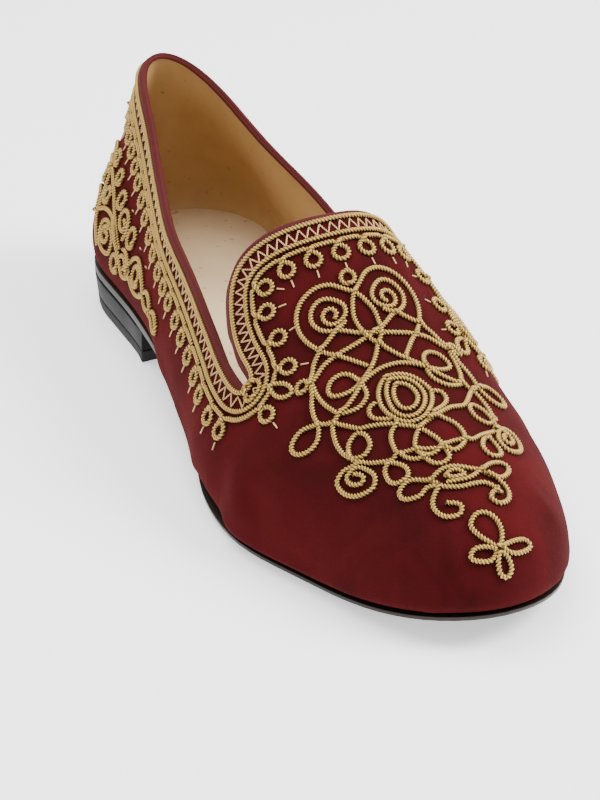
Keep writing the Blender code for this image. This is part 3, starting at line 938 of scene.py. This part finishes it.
# %% Lay a line of points on the skin; a crossing is felt within some radii of a cord
CROSSING_REACH = 1.7
OWN_REACH = 3.2
CROSSING_LIFT = 1.15
LIFT_PASSES, LIFT_KEPT = 4, 0.98
NORMAL_PASSES = 6
laid_points = []


def lay_on_skin(line, radius, closed=False):
    """Lifts a line off the skin by most of its radius, and over the cords it crosses."""
    feet, ups = [], []
    for point in line:
        foot, normal, _, _ = skin.find_nearest(Vector(point))
        feet.append(foot)
        ups.append(normal)
    feet = np.array(feet)
    ups = smoothed(np.array(ups), NORMAL_PASSES, closed)
    ups /= np.linalg.norm(ups, axis=1)[:, None]
    lift = crossing_lift(feet, radius)
    return feet + ups * (radius * SIT_DEPTH + lift)[:, None]


def crossing_lift(feet, radius):
    """How far each point of a cord rides up over cords laid before it, and over itself."""
    reach = CROSSING_REACH * radius
    tree = point_tree(laid_points + list(feet))
    lift = np.zeros(len(feet))
    own_gap = int(OWN_REACH * radius / CORD_STEP) + 2
    for index, point in enumerate(feet):
        for _, other, distance in tree.find_range(Vector(point), reach):
            own = other - len(laid_points)
            if own >= 0 and own > index - own_gap:
                continue
            lift[index] = max(lift[index], CROSSING_LIFT * radius * (1 - distance / reach))
    for _ in range(LIFT_PASSES):
        lift = np.maximum(lift, (np.roll(lift, 1) + np.roll(lift, -1)) / 2 * LIFT_KEPT)
    laid_points.extend(Vector(p) for p in feet)
    return lift


print("a cord sits", round(CORD_RADIUS * SIT_DEPTH * 1000, 2), "mm above the skin")

# %% Twist lines into a cord


def twisted(name, lines, shape=cord_section, lay=CORD_LAY, material=gold_cord):
    """One mesh of twisted cords, of the gold one if nothing else is said, from (line, closed)."""
    data = bpy.data.curves.new(name, "CURVE")
    data.dimensions = "3D"
    data.bevel_mode = "OBJECT"
    data.bevel_object = shape
    data.use_fill_caps = True
    centre = []
    for line, closed in lines:
        spline = data.splines.new("POLY")
        spline.points.add(len(line) - 1)
        spline.points.foreach_set("co", np.column_stack([line, np.ones(len(line))]).ravel())
        length = np.linalg.norm(np.diff(line, axis=0), axis=1).sum()
        turns = max(round(length / lay), 1) if closed else length / lay
        share = np.arange(len(line)) / (len(line) if closed else len(line) - 1)
        spline.points.foreach_set("tilt", share * turns * 2 * math.pi)
        spline.use_cyclic_u = closed
        centre.append(line)
    piece = bpy.data.objects.new(name, data)
    bpy.context.scene.collection.objects.link(piece)
    bpy.ops.object.select_all(action="DESELECT")
    piece.select_set(True)
    bpy.context.view_layer.objects.active = piece
    bpy.ops.object.convert(target="MESH")
    piece = bpy.context.object
    bpy.ops.object.mode_set(mode="EDIT")
    bpy.ops.mesh.select_all(action="SELECT")
    bpy.ops.mesh.remove_doubles(threshold=0.000001)
    bpy.ops.mesh.normals_make_consistent(inside=False)
    bpy.ops.object.mode_set(mode="OBJECT")
    bpy.ops.object.shade_smooth()
    mark_plies(piece, np.vstack(centre))
    piece.data.materials.clear()
    piece.data.materials.append(material)
    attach(piece, "root")
    total = sum(np.linalg.norm(np.diff(line, axis=0), axis=1).sum() for line, _ in lines)
    print(name, round(total * 1000), "mm of cord,", len(piece.data.polygons), "faces")
    return piece


def mark_plies(piece, centre):
    """Stores how far each point stands from the middle of its cord, from 0 to 1."""
    tree = point_tree(centre)
    reach = np.array([tree.find(v.co)[2] for v in piece.data.vertices])
    low, high = np.percentile(reach, (5, 95))
    attribute = piece.data.attributes.new("ply", "FLOAT", "POINT")
    attribute.data.foreach_set("value", np.clip((reach - low) / max(high - low, 1e-6), 0.0, 1.0))


print("plies are marked from 0 in the groove to 1 on the crest")

# %% [markdown]
# ## The border
# Two cords frame a band of zigzag thread along the binding. A third runs close beside them,
# further from the opening, and drops into a small ring every few millimetres. The rings are
# close together at the heel and wider apart towards the toe.

# %% Directions along and down from a line
LOOK_ALONG = 6
LOOK_ASIDE = 0.002


def frame_on(line, index):
    """The point, the direction along the line and the direction away from the binding."""
    count = len(line)
    point = Vector(line[index % count])
    along = Vector(line[(index + LOOK_ALONG) % count]) - Vector(line[(index - LOOK_ALONG) % count])
    along.normalize()
    normal = skin.find_nearest(point)[1]
    away = normal.cross(along).normalized()
    step = point + away * LOOK_ASIDE
    nearer = binding_tree.find_nearest(point)[3] > binding_tree.find_nearest(step)[3]
    return point, along, -away if nearer else away


print("direction along the ring line at the back:", [round(v, 2) for v in frame_on(ring_line, 0)[1]])

# %% Ring places, charted on one quarter, round the notch and on the tab
QUARTER_RINGS = (11.5, 18.0, 24.5, 31.0, 38.0, 44.7, 52.0, 59.6, 68.0, 76.0, 84.5, 92.0, 99.5,
                 108.5, 116.5, 125.0, 134.0, 142.5, 152.5, 161.5)
TAB_RINGS = ((173.5, 32.7), (166.6, 25.8), (158.8, 24.7), (150.2, 23.0), (144.3, 20.8),
             (145.0, 14.8), (146.6, 7.6), (147.0, 0.0))
RAY_FROM = 120.0
RING_WINDOW = 0.001


def nearest_index(line, target):
    """The place on a line that is nearest to a point."""
    return int(np.argmin(np.linalg.norm(line - np.array(target), axis=1)))


def from_above(x, y):
    """The point of the skin under a charted place, or nothing off its edge."""
    return skin.ray_cast(placed(x, y, RAY_FROM), Vector((0.0, 0.0, -1.0)))[0]


def from_side(x, z, side):
    """The point of the skin beside a charted place, seen from one side."""
    return skin.ray_cast(placed(x, side * RAY_FROM, z), Vector((0.0, -side, 0.0)))[0]


ring_indices = set()
for side in (-1, 1):
    for x in QUARTER_RINGS:
        reach = [i for i, p in enumerate(ring_line)
                 if (p[1] - MIDDLE_Y) * side > 0.0
                 and abs(p[0] - x * MM - HEEL_TIP_X) < RING_WINDOW]
        ring_indices.add(min(reach, key=lambda i: ring_line[i, 2]))
    for x, y in TAB_RINGS:
        ring_indices.add(nearest_index(ring_line, from_above(x, side * y)))
ring_indices = sorted(ring_indices)
print(len(ring_indices), "rings")

# %% [markdown]
# The zigzag is drawn first, because the frame cords cover its turns. Each of its points is
# found by stepping from a line in the middle of the band, once up and once down.

# %% Smooth curve through a few points
CURVE_PARTS = 12


def curved(points, closed=False, step=CORD_STEP):
    """An even line through the points, rounded between them."""
    points = np.array([tuple(p) for p in points])
    if closed:
        padded = np.vstack([points[-1:], points, points[:2]])
    else:
        padded = np.vstack([2 * points[:1] - points[1:2], points, 2 * points[-1:] - points[-2:-1]])
    pieces = []
    for first in range(len(padded) - 3):
        a, b, c, d = padded[first:first + 4]
        share = np.linspace(0.0, 1.0, CURVE_PARTS, endpoint=False)[:, None]
        pieces.append(0.5 * (2 * b + (c - a) * share + (2 * a - 5 * b + 4 * c - d) * share ** 2
                             + (3 * b - a - 3 * c + d) * share ** 3))
    line = np.vstack(pieces if closed else pieces + [points[-1:]])
    return even(line, step, closed)


def side_step(line, index, u, v):
    """The point of the skin u along a line and v away from the binding, in metres."""
    point, along, away = frame_on(line, index)
    return skin.find_nearest(point + along * u + away * v)[0]


print("a step of 5 mm down from the back lands at", side_step(ring_line, 0, 0.0, 0.005))

# %% Zigzag thread in the band between the frame cords
ZIGZAG_AT = 0.00335
ZIGZAG_REACH = 0.0017
QUARTER_PITCH = 0.0039
TAB_PITCH = 0.0031
THREAD_SIT = 0.8

middle_line = line_at(ZIGZAG_AT)
half_way = len(middle_line) // 2
first_tip = int(np.argmax(middle_line[:half_way, 0]))
last_tip = half_way + int(np.argmax(middle_line[half_way:, 0]))
pitch = np.full(len(middle_line), QUARTER_PITCH)
pitch[first_tip:last_tip] = TAB_PITCH
turns_upto = np.cumsum(2 * CORD_STEP / pitch)
turn_count = 2 * round(turns_upto[-1] / 2)
corners = []
for turn in range(turn_count):
    spot = int(np.searchsorted(turns_upto, turn * turns_upto[-1] / turn_count))
    corners.append(side_step(middle_line, spot, 0.0, ZIGZAG_REACH * (1 if turn % 2 else -1)))
zigzag_line = even(np.array([tuple(p) for p in corners]), CORD_STEP, True)


def pale_cord(name, lines, shape, lay):
    """Fine pale thread, which lies flat and isn't lifted over anything."""
    resting = []
    for line, closed in lines:
        feet = [skin.find_nearest(Vector(p))[:2] for p in line]
        rest = [tuple(foot + normal * THREAD_RADIUS * THREAD_SIT) for foot, normal in feet]
        resting.append((np.array(rest), closed))
    return twisted(name, resting, shape, lay, pale_thread)


pale_cord("zigzag_thread", [(zigzag_line, True)], thread_section, THREAD_LAY)

# %% Two frame cords; the inner one turns down beside the back seam
INNER_SKIP, INNER_ASIDE = 0.0048, 0.0028
RING_SKIP, RING_ASIDE = 0.0085, 0.0058
BACK_FOOT_Z, BACK_STEP_Z, BACK_TURN_Z = 25.0, 3.0, 4.0
BEHIND_X = -0.2
END_CUT = 3
CONTROL_EVERY = 8


def turned_down(line, skip, away):
    """Opens a closed line at the centre back and carries both ends down the heel."""
    count = int(skip / CORD_STEP)
    top = line[count:-count]
    heights = np.arange(BACK_FOOT_Z, top[0, 2] / MM - BACK_TURN_Z, BACK_STEP_Z)
    drops = []
    for side in (-1, 1):
        drop = []
        for z in heights:
            start = Vector((BEHIND_X, MIDDLE_Y + side * away, z * MM))
            drop.append(tuple(skin.ray_cast(start, Vector((1.0, 0.0, 0.0)))[0]))
        drops.append(drop)
    controls = drops[0] + [tuple(p) for p in top[END_CUT:-END_CUT:CONTROL_EVERY]] + drops[1][::-1]
    return curved(controls)


twisted("border_cord_edge", [(lay_on_skin(edge_line, CORD_RADIUS, True), True)])
inner_path = turned_down(inner_line, INNER_SKIP, INNER_ASIDE)
twisted("border_cord_inner", [(lay_on_skin(inner_path, CORD_RADIUS), False)])

# %% The ring cord: a base line that drops into a ring at each charted place
RING_LOOP = ((-1.6, 0.0), (-0.6, 0.5), (0.6, 1.7), (1.7, 2.7), (2.15, 4.1), (1.55, 5.6), (0.0, 6.3),
             (-1.55, 5.6), (-2.15, 4.1), (-1.7, 2.7), (-0.6, 1.7), (0.6, 0.5), (1.6, 0.0))
LOOP_HALF = int(1.9 * MM / CORD_STEP)
FIRST_DROP = int(3.0 * MM / CORD_STEP)
DROP_PITCH = int(6.6 * MM / CORD_STEP)
SEED_FROM, SEED_LENGTH, SEED_RADIUS = 0.0076, 0.0024, 0.00027

ring_path = turned_down(ring_line, RING_SKIP, RING_ASIDE)
stations = sorted({nearest_index(ring_path, ring_line[i]) for i in ring_indices})
drops = list(range(FIRST_DROP, stations[0] - DROP_PITCH + 1, DROP_PITCH))
stations = drops + stations + [len(ring_path) - i for i in drops][::-1]
controls, seeds = [], []
upto = 0
for station in stations:
    controls += [tuple(p) for p in ring_path[upto:station - LOOP_HALF:CONTROL_EVERY]]
    for u, v in RING_LOOP:
        controls.append(tuple(side_step(ring_path, station, u * MM, v * MM)))
    seeds.append([side_step(ring_path, station, 0.0, SEED_FROM + SEED_LENGTH * share)
                  for share in (0.0, 0.5, 1.0)])
    upto = station + LOOP_HALF
controls += [tuple(p) for p in ring_path[upto::CONTROL_EVERY]]
twisted("border_cord_rings", [(lay_on_skin(curved(controls), CORD_RADIUS), False)])
seed_section = section("seed_section", SEED_RADIUS, 0.15, 6)
print(len(stations), "rings in the border")

# %% [markdown]
# ## The vamp motif
# The strapwork on the vamp is charted as strokes of cord on one half and mirrored to the
# other. Its middle drifts a little from the toe's centre line, as the shoe's own does.

# %% Strokes on the vamp, seen from above: (x, y) from the heel and from the middle
VAMP_HEART = (
    (181.5, -6), (179, -8), (176, -10.5), (174, -12.5), (171.5, -14.5), (169, -16), (165, -17.6),
    (161, -18), (157.5, -17), (155, -14.5), (154.2, -10.5), (155.3, -6.5), (158, -3.3),
    (160.5, -0.5), (163, 1), (166.5, 2.2), (170, 2.1), (172.7, 1.6), (175, 0.3), (176.5, -1),
    (178.2, -2), (180, -3.3), (182, -5), (183.8, -7.3), (185, -9.3), (186.2, -12), (186, -15),
    (184.5, -17.6), (182.3, -18), (180.2, -16.3), (180, -13.5), (181.5, -11.3), (184, -10.2),
    (187.5, -9.6), (190.5, -10.2), (192.3, -13), (191.8, -16), (190.3, -18.3), (188, -19.3),
    (185, -20.3), (181, -20.8), (178, -20.6))
VAMP_SPIRAL = (
    (164.6, -8.6), (163.2, -7.6), (161.6, -8.3), (161.2, -10), (162.4, -11.3), (164.4, -11),
    (165.8, -9.4), (165.8, -7.2), (164.5, -5.4), (162.3, -5), (160, -6.5), (158.2, -9),
    (158, -11.5), (159.4, -13.5), (162, -14.3), (165, -13.2), (167, -11), (168.3, -8.3),
    (170, -6), (171.3, -4), (172.5, -1), (173.3, 2), (173.9, 6), (174.1, 10), (174.6, 14.5),
    (176, 17.5), (177.3, 20.3))
VAMP_BRACE = ((166.5, -6.2), (167.6, -8.5), (168.3, -10.8), (169.3, -13), (170.5, -15.5),
              (172.5, -18), (175, -19.6), (177.5, -21.3))
VAMP_WAIST = (
    (183.6, 0), (184, -4.5), (185.3, -8), (187, -11), (189, -14), (190.2, -16.5), (191, -19),
    (192.3, -20.7), (194.5, -21.6), (197.5, -22.1), (200.5, -22), (203.2, -21.3), (205.3, -20),
    (206.5, -17.7), (205, -15.4), (201.5, -15.2), (199.4, -16.8), (200.4, -19.5), (203, -20.6),
    (206, -20.4), (208, -19.3))
VAMP_DROP = (
    (177.8, -21), (180, -21.6), (183, -23), (186, -23.7), (189, -23.8), (191, -24.3),
    (193, -25.7), (193.5, -28), (192, -30.5), (189.5, -31.5), (187.7, -30.5), (187, -28),
    (188, -25.5), (189.5, -23.6), (190.7, -22), (192, -20.5), (194, -19), (196.5, -17.2),
    (198.5, -15.7))
VAMP_OVAL = ((213.8, -13.8), (215.2, -12.1), (218.2, -10.7), (221, -11.6), (220.4, -14.3),
             (218.2, -15.7), (214.9, -15.4))
VAMP_SCROLL = (
    (208, -19.3), (206.5, -22), (206, -23.8), (207, -25.7), (210, -25.7), (213.2, -24.3),
    (215.4, -22), (216.3, -19.3), (214.3, -18), (211.5, -18.5), (208.2, -20.4), (208, -23.2),
    (210.4, -23.4), (212.7, -21.5), (212.1, -20.2), (209.9, -20.9), (209.3, -21.9))
VAMP_CURL = ((228.8, -6), (230.4, -8.2), (232.7, -9.6), (235.4, -9.3), (237.7, -7.7),
             (238.8, -4.9), (237.1, -3.5), (235.4, -4.6), (234.3, -6.6))
NOTCH_LINK = ((169, -29.3), (170.5, -27), (173, -25.6), (175.3, -25.6), (174.5, -27.8),
              (172, -29.3))

VAMP_HALF = (VAMP_HEART, VAMP_SPIRAL, VAMP_BRACE, VAMP_WAIST, VAMP_DROP, VAMP_OVAL, VAMP_SCROLL,
             VAMP_CURL, NOTCH_LINK)
print("vamp strokes on one half:", len(VAMP_HALF), "with", sum(map(len, VAMP_HALF)), "points")

# %% The middle of the motif, where the two halves are sewn a little differently
COIL_RINGS = (
    ((187.2, -3), (187.8, 1.3), (190.3, 4.5), (194.1, 6.2), (198.2, 5.5), (202.4, 2.9),
     (204.9, -0.3), (204.8, -4), (202.1, -6.7), (197.8, -8), (193.6, -7.9), (189.7, -6.2)),
    ((188.6, -2.6), (189.3, 1.2), (192.3, 3.6), (196.5, 4.0), (200.8, 1.9), (203.1, -1.2),
     (202.4, -4.2), (199.3, -5.9), (195.4, -5.9), (191.5, -4.9)),
    ((190.7, -1.6), (191.3, 0.4), (193.5, 1.8), (196.7, 1.9), (199.4, 0.4), (200.4, -1.8),
     (199.0, -3.7), (195.8, -4.1), (192.6, -3.3)))
COIL_LOOPS = (
    ((193.8, -9), (194.2, -10.8), (196.1, -11.8), (198.3, -11.3), (200.1, -9.3), (201.2, -7.6)),
    ((195.2, 7.1), (195.8, 9.3), (198.5, 9.5), (201.2, 7.5), (203, 4.7), (203.8, 2.9)))
OUTER_CROSSING = (
    (199.6, -13.5), (201.2, -10.6), (203.2, -7.8), (205.3, -5.4), (206.8, -3.6), (208.5, -2.3),
    (211.2, -1), (213.9, 0.1), (216.5, 0.4), (219.3, 0.5), (221.3, 0.1), (222.4, -2.2),
    (221.2, -4.2), (219.1, -5.2), (217.8, -5.5))
INNER_CROSSING = ((200.7, 13.4), (202.1, 9.1), (204.4, 4.7), (206.2, 1), (207.8, -1.9),
                  (209.8, -4.1), (212.3, -5.7), (214.7, -6.3), (217.1, -5.6))
WIDE_LOOP = (
    (206.1, 0.7), (205.6, 3.8), (207.1, 5.8), (209.1, 7.5), (212.1, 8.1), (215.1, 7.4), (218, 5),
    (219.1, 2.2), (217.5, -0.3), (216.5, -2.7), (215.2, -5.3), (213.8, -7.9), (212.6, -10.6),
    (210.2, -10.8), (207.1, -10.3), (205, -9.1), (203.5, -6.9))
BELT = (
    (206.8, -20.3), (210, -17.2), (212.7, -13.9), (213.3, -12.2), (212.7, -10.7), (215.4, -9.3),
    (217.4, -7.3), (218.1, -4.7), (218, -2.1), (216.7, 0.8), (215.8, 3.8), (215.6, 6.5),
    (215.2, 9.6), (213, 13), (209.6, 18.6))
LENS_UPPER = (
    (227.8, -5.9), (226.1, -7), (224.8, -5.2), (224.2, -2.4), (224.9, 0.5), (226.5, 3.7),
    (227.5, 6.2), (229.1, 8), (229.7, 11), (227.4, 14.1), (224.8, 15.4), (223.7, 13.6),
    (224.9, 10), (227.5, 6.2), (229.5, 2.3), (229.3, -1.5), (228.6, -4.1))
LENS_LOWER = (
    (226.1, -7), (223.9, -9.3), (222.4, -11.1), (222, -12.9), (222.9, -14.7), (224.7, -15),
    (226.7, -13.7), (228, -11.1), (227.2, -8.8), (228.4, -6.4), (230, -4.4), (231.6, -1.2),
    (231.8, 2), (231.9, 5.2), (233.3, 7.3), (235.5, 8.3))
LENS_EYE = ((227.0, -3.4), (225.7, -1.7), (225.9, -0.2), (227.1, 1.1), (228.3, 1.3), (228.5, -0.1),
            (228.0, -1.9))
print("the middle has", len(COIL_RINGS), "rings,", len(COIL_LOOPS), "small loops and a lens")

# %% The flower at the tip, rings, and how a stroke is laid
VAMP_FLOWER = (
    ((249.9, 1.2), (247.1, 3.2), (243.8, 3.4), (241.3, 1.8), (240.7, -1), (242.7, -3.5),
     (245.4, -2.9), (248.2, -1)),
    ((250.2, 1.8), (249.1, 5.7), (248.5, 9), (249.6, 10.1), (251, 7.9), (251.6, 4.6)),
    ((250.4, 0.1), (251.8, -1.6), (251, -4.3), (249.3, -6.3), (248.2, -4.9), (249, -2.1)),
    ((251, 1), (252.4, 2.6), (254.2, 2.6), (254.9, 1.0), (254.2, -0.4), (252.4, -0.2)))
MOTIF_FROM, MOTIF_LENGTH = 155.0, 95.0


def ring(x, y, radius):
    """A charted ring of ten points."""
    turns = [2 * math.pi * (index / 10) for index in range(10)]
    return [(x + radius * math.cos(turn), y + radius * math.sin(turn)) for turn in turns]


def middle_at(x):
    """The middle of the motif at a distance from the heel."""
    return -1.0 + 2.0 * (x - MOTIF_FROM) / MOTIF_LENGTH


def mirrored(stroke):
    """The same stroke on the other half of the vamp."""
    return [(x, 2 * middle_at(x) - y) for x, y in stroke]


def laid(spots, closed):
    """A cord laid through the spots that are on the skin."""
    line = curved([spot for spot in spots if spot is not None], closed)
    return lay_on_skin(line, CORD_RADIUS, closed), closed


def on_vamp(stroke, closed=False):
    """A charted stroke laid on the vamp, as a line of points."""
    return laid([from_above(x, y) for x, y in stroke], closed)


print("the motif's middle drifts from", middle_at(MOTIF_FROM), "to",
      middle_at(MOTIF_FROM + MOTIF_LENGTH), "mm")

# %% Lay the vamp motif
VAMP_RINGS = ((176.2, -23.0, 1.6), (164.5, -32.8, 2.0))
vamp_lines = []
for stroke in (VAMP_SPIRAL, VAMP_HEART, VAMP_BRACE):
    vamp_lines += [on_vamp(stroke), on_vamp(mirrored(stroke))]
vamp_lines.append(on_vamp(mirrored(VAMP_WAIST)[::-1] + list(VAMP_WAIST[1:])))
vamp_lines.append(on_vamp(list(VAMP_DROP) + list(OUTER_CROSSING)))
vamp_lines.append(on_vamp(mirrored(VAMP_DROP) + list(INNER_CROSSING)))
for stroke in (WIDE_LOOP, BELT, LENS_UPPER, LENS_LOWER) + COIL_LOOPS:
    vamp_lines.append(on_vamp(stroke))
for stroke in (VAMP_SCROLL, VAMP_CURL):
    vamp_lines += [on_vamp(stroke), on_vamp(mirrored(stroke))]
vamp_lines += [on_vamp(VAMP_OVAL, True), on_vamp(mirrored(VAMP_OVAL), True)]
vamp_lines += [on_vamp(stroke, True) for stroke in COIL_RINGS + (LENS_EYE,)]
vamp_lines.append(on_vamp(ring(155.6, -1.0, 1.9), True))
for stroke in [ring(*numbers) for numbers in VAMP_RINGS] + [NOTCH_LINK]:
    vamp_lines += [on_vamp(stroke, True), on_vamp(mirrored(stroke), True)]
vamp_lines += [on_vamp(petal, True) for petal in VAMP_FLOWER]
twisted("vamp_cord", vamp_lines)

# %% [markdown]
# ## The quarter motif
# A smaller spray of arches, spirals and rings fills each side from the heel to the arch of
# the foot. It is charted from the side and laid on both quarters.

# %% Strokes on a quarter, seen from the side: (x, z) from the heel and from the ground
QUARTER_ARCH = (
    (4.6, 34.6), (6, 39.2), (6.5, 43.5), (8.5, 47.3), (11.5, 49.2), (15, 49.2), (17.7, 47.3),
    (19.6, 43.8), (20.8, 40), (21.9, 36.2), (22.7, 33), (23.8, 30.4), (27, 27.7), (30.4, 24.6))
QUARTER_STEM = (
    (8.5, 37), (7, 40), (8.5, 43.5), (11.5, 45), (15.4, 45), (18.5, 44.6), (22.3, 44.2),
    (26.2, 42.7), (29.2, 41.5), (32.3, 39.6), (35, 37.7), (38.5, 35.4), (41.5, 33.5),
    (44.6, 31.5), (47.7, 30))
QUARTER_FOOT = ((10.8, 35), (13.8, 36.3), (17.3, 35.8), (19.2, 33.5), (20, 31))
QUARTER_SWEEP = (
    (20, 31.5), (23, 33), (27, 35), (31.5, 35.8), (35.4, 35.5), (39.2, 34.2), (42.3, 32.7),
    (45.4, 30.8), (48, 28.8), (50.8, 26.2), (53.8, 24.2), (57.3, 25), (58.8, 27), (57.3, 29.2),
    (53.8, 31.2), (50.8, 31.5))
QUARTER_HOOK = ((50, 29.2), (53, 29.6), (55, 28), (53.8, 26.2))
QUARTER_SCROLL = (
    (36.9, 33), (33, 33.5), (30.3, 32), (30.4, 29.2), (32.3, 26.2), (36.2, 25), (40, 25.8),
    (41.2, 28.5), (40, 31.2), (36.9, 32.6), (33, 31.6), (32, 29.4), (33.4, 27.7), (35.8, 27.7),
    (36.9, 29.6), (35.4, 31.2), (34, 30))
QUARTER_SNAIL = (
    (47.3, 33), (48.5, 35.4), (47.7, 38.5), (45, 40.4), (41.9, 40), (40.8, 37.7), (43, 35.4),
    (45.8, 35), (46.2, 37), (44.2, 38))
QUARTER_EYE = (
    (58, 26.2), (58.5, 30), (60.8, 32.7), (64.6, 33.8), (68.5, 32.7), (71.5, 30.8),
    (74.2, 28.5), (77.7, 25.4), (81.5, 25), (85.4, 26.4), (87.7, 27.7), (90.8, 27.7),
    (93.5, 25.8), (93.5, 23.8), (91.2, 23.5), (88.5, 25), (85.4, 26.4), (81.5, 29.2),
    (77.7, 29.6), (75, 27.5), (73.8, 26.5), (70.8, 25), (67, 24.2), (63, 25), (59.2, 27))
QUARTER_SMALL_RINGS = ((13.5, 40.6, 2.4), (21.3, 48.4, 2.2), (29.5, 45.5, 2.1),
                       (25.8, 38.5, 2.3), (37.3, 41.4, 2.5), (46.0, 25.0, 2.7),
                       (53.6, 36.0, 2.9), (65.5, 29.0, 3.0))
QUARTER_DOTS = ((46.9, 41.9), (62.3, 36.5), (71.5, 34.6))
print("quarter:", len(QUARTER_SMALL_RINGS), "small rings and", len(QUARTER_DOTS), "dots")


def on_quarter(stroke, side, closed=False):
    """A charted stroke laid on one quarter, as a line of points."""
    return laid([from_side(x, z, side) for x, z in stroke], closed)


# %% Lay the quarter motif on both sides
for side, name in ((-1, "outer_quarter_cord"), (1, "inner_quarter_cord")):
    lines = []
    for stroke in (QUARTER_STEM, QUARTER_ARCH, QUARTER_FOOT, QUARTER_SWEEP, QUARTER_HOOK,
                   QUARTER_SCROLL, QUARTER_SNAIL, QUARTER_EYE):
        lines.append(on_quarter(stroke, side))
    for x, z, radius in QUARTER_SMALL_RINGS:
        lines.append(on_quarter(ring(x, z, radius), side, True))
    twisted(name, lines)

# %% Seed stitches beyond the rings, and the dots between ring and spray
DOT_RADIUS = 0.7
SEED_STEP = 0.0003
seed_lines = [(curved(points, step=SEED_STEP), False) for points in seeds]
for side in (-1, 1):
    for x, z in QUARTER_DOTS:
        spots = [from_side(x + DOT_RADIUS * share, z, side) for share in (-1.0, 0.0, 1.0)]
        seed_lines.append((curved(spots, step=SEED_STEP), False))
pale_cord("seed_stitches", seed_lines, seed_section, THREAD_LAY)

# %% The nap is pressed flat beside a cord, and painted shade darkens the suede there
PRESSED_SHADE_FROM = 0.0006
PRESSED_SHADE_TO = 0.0021
PRESSED_SHADE_MOST = 0.75

laid_tree = point_tree(laid_points)
near = np.array([laid_tree.find(v.co)[2] for v in upper.data.vertices])
share = np.clip((PRESSED_SHADE_TO - near) / (PRESSED_SHADE_TO - PRESSED_SHADE_FROM), 0.0, 1.0)
attribute = upper.data.attributes.new("pressed_shade", "FLOAT", "POINT")
attribute.data.foreach_set("value", PRESSED_SHADE_MOST * share)
print("points with pressed nap:", int((share > 0).sum()))

# %% Clear away the sections, which were only patterns for the cords
for shape in (cord_section, thread_section, seed_section):
    bpy.data.objects.remove(shape)
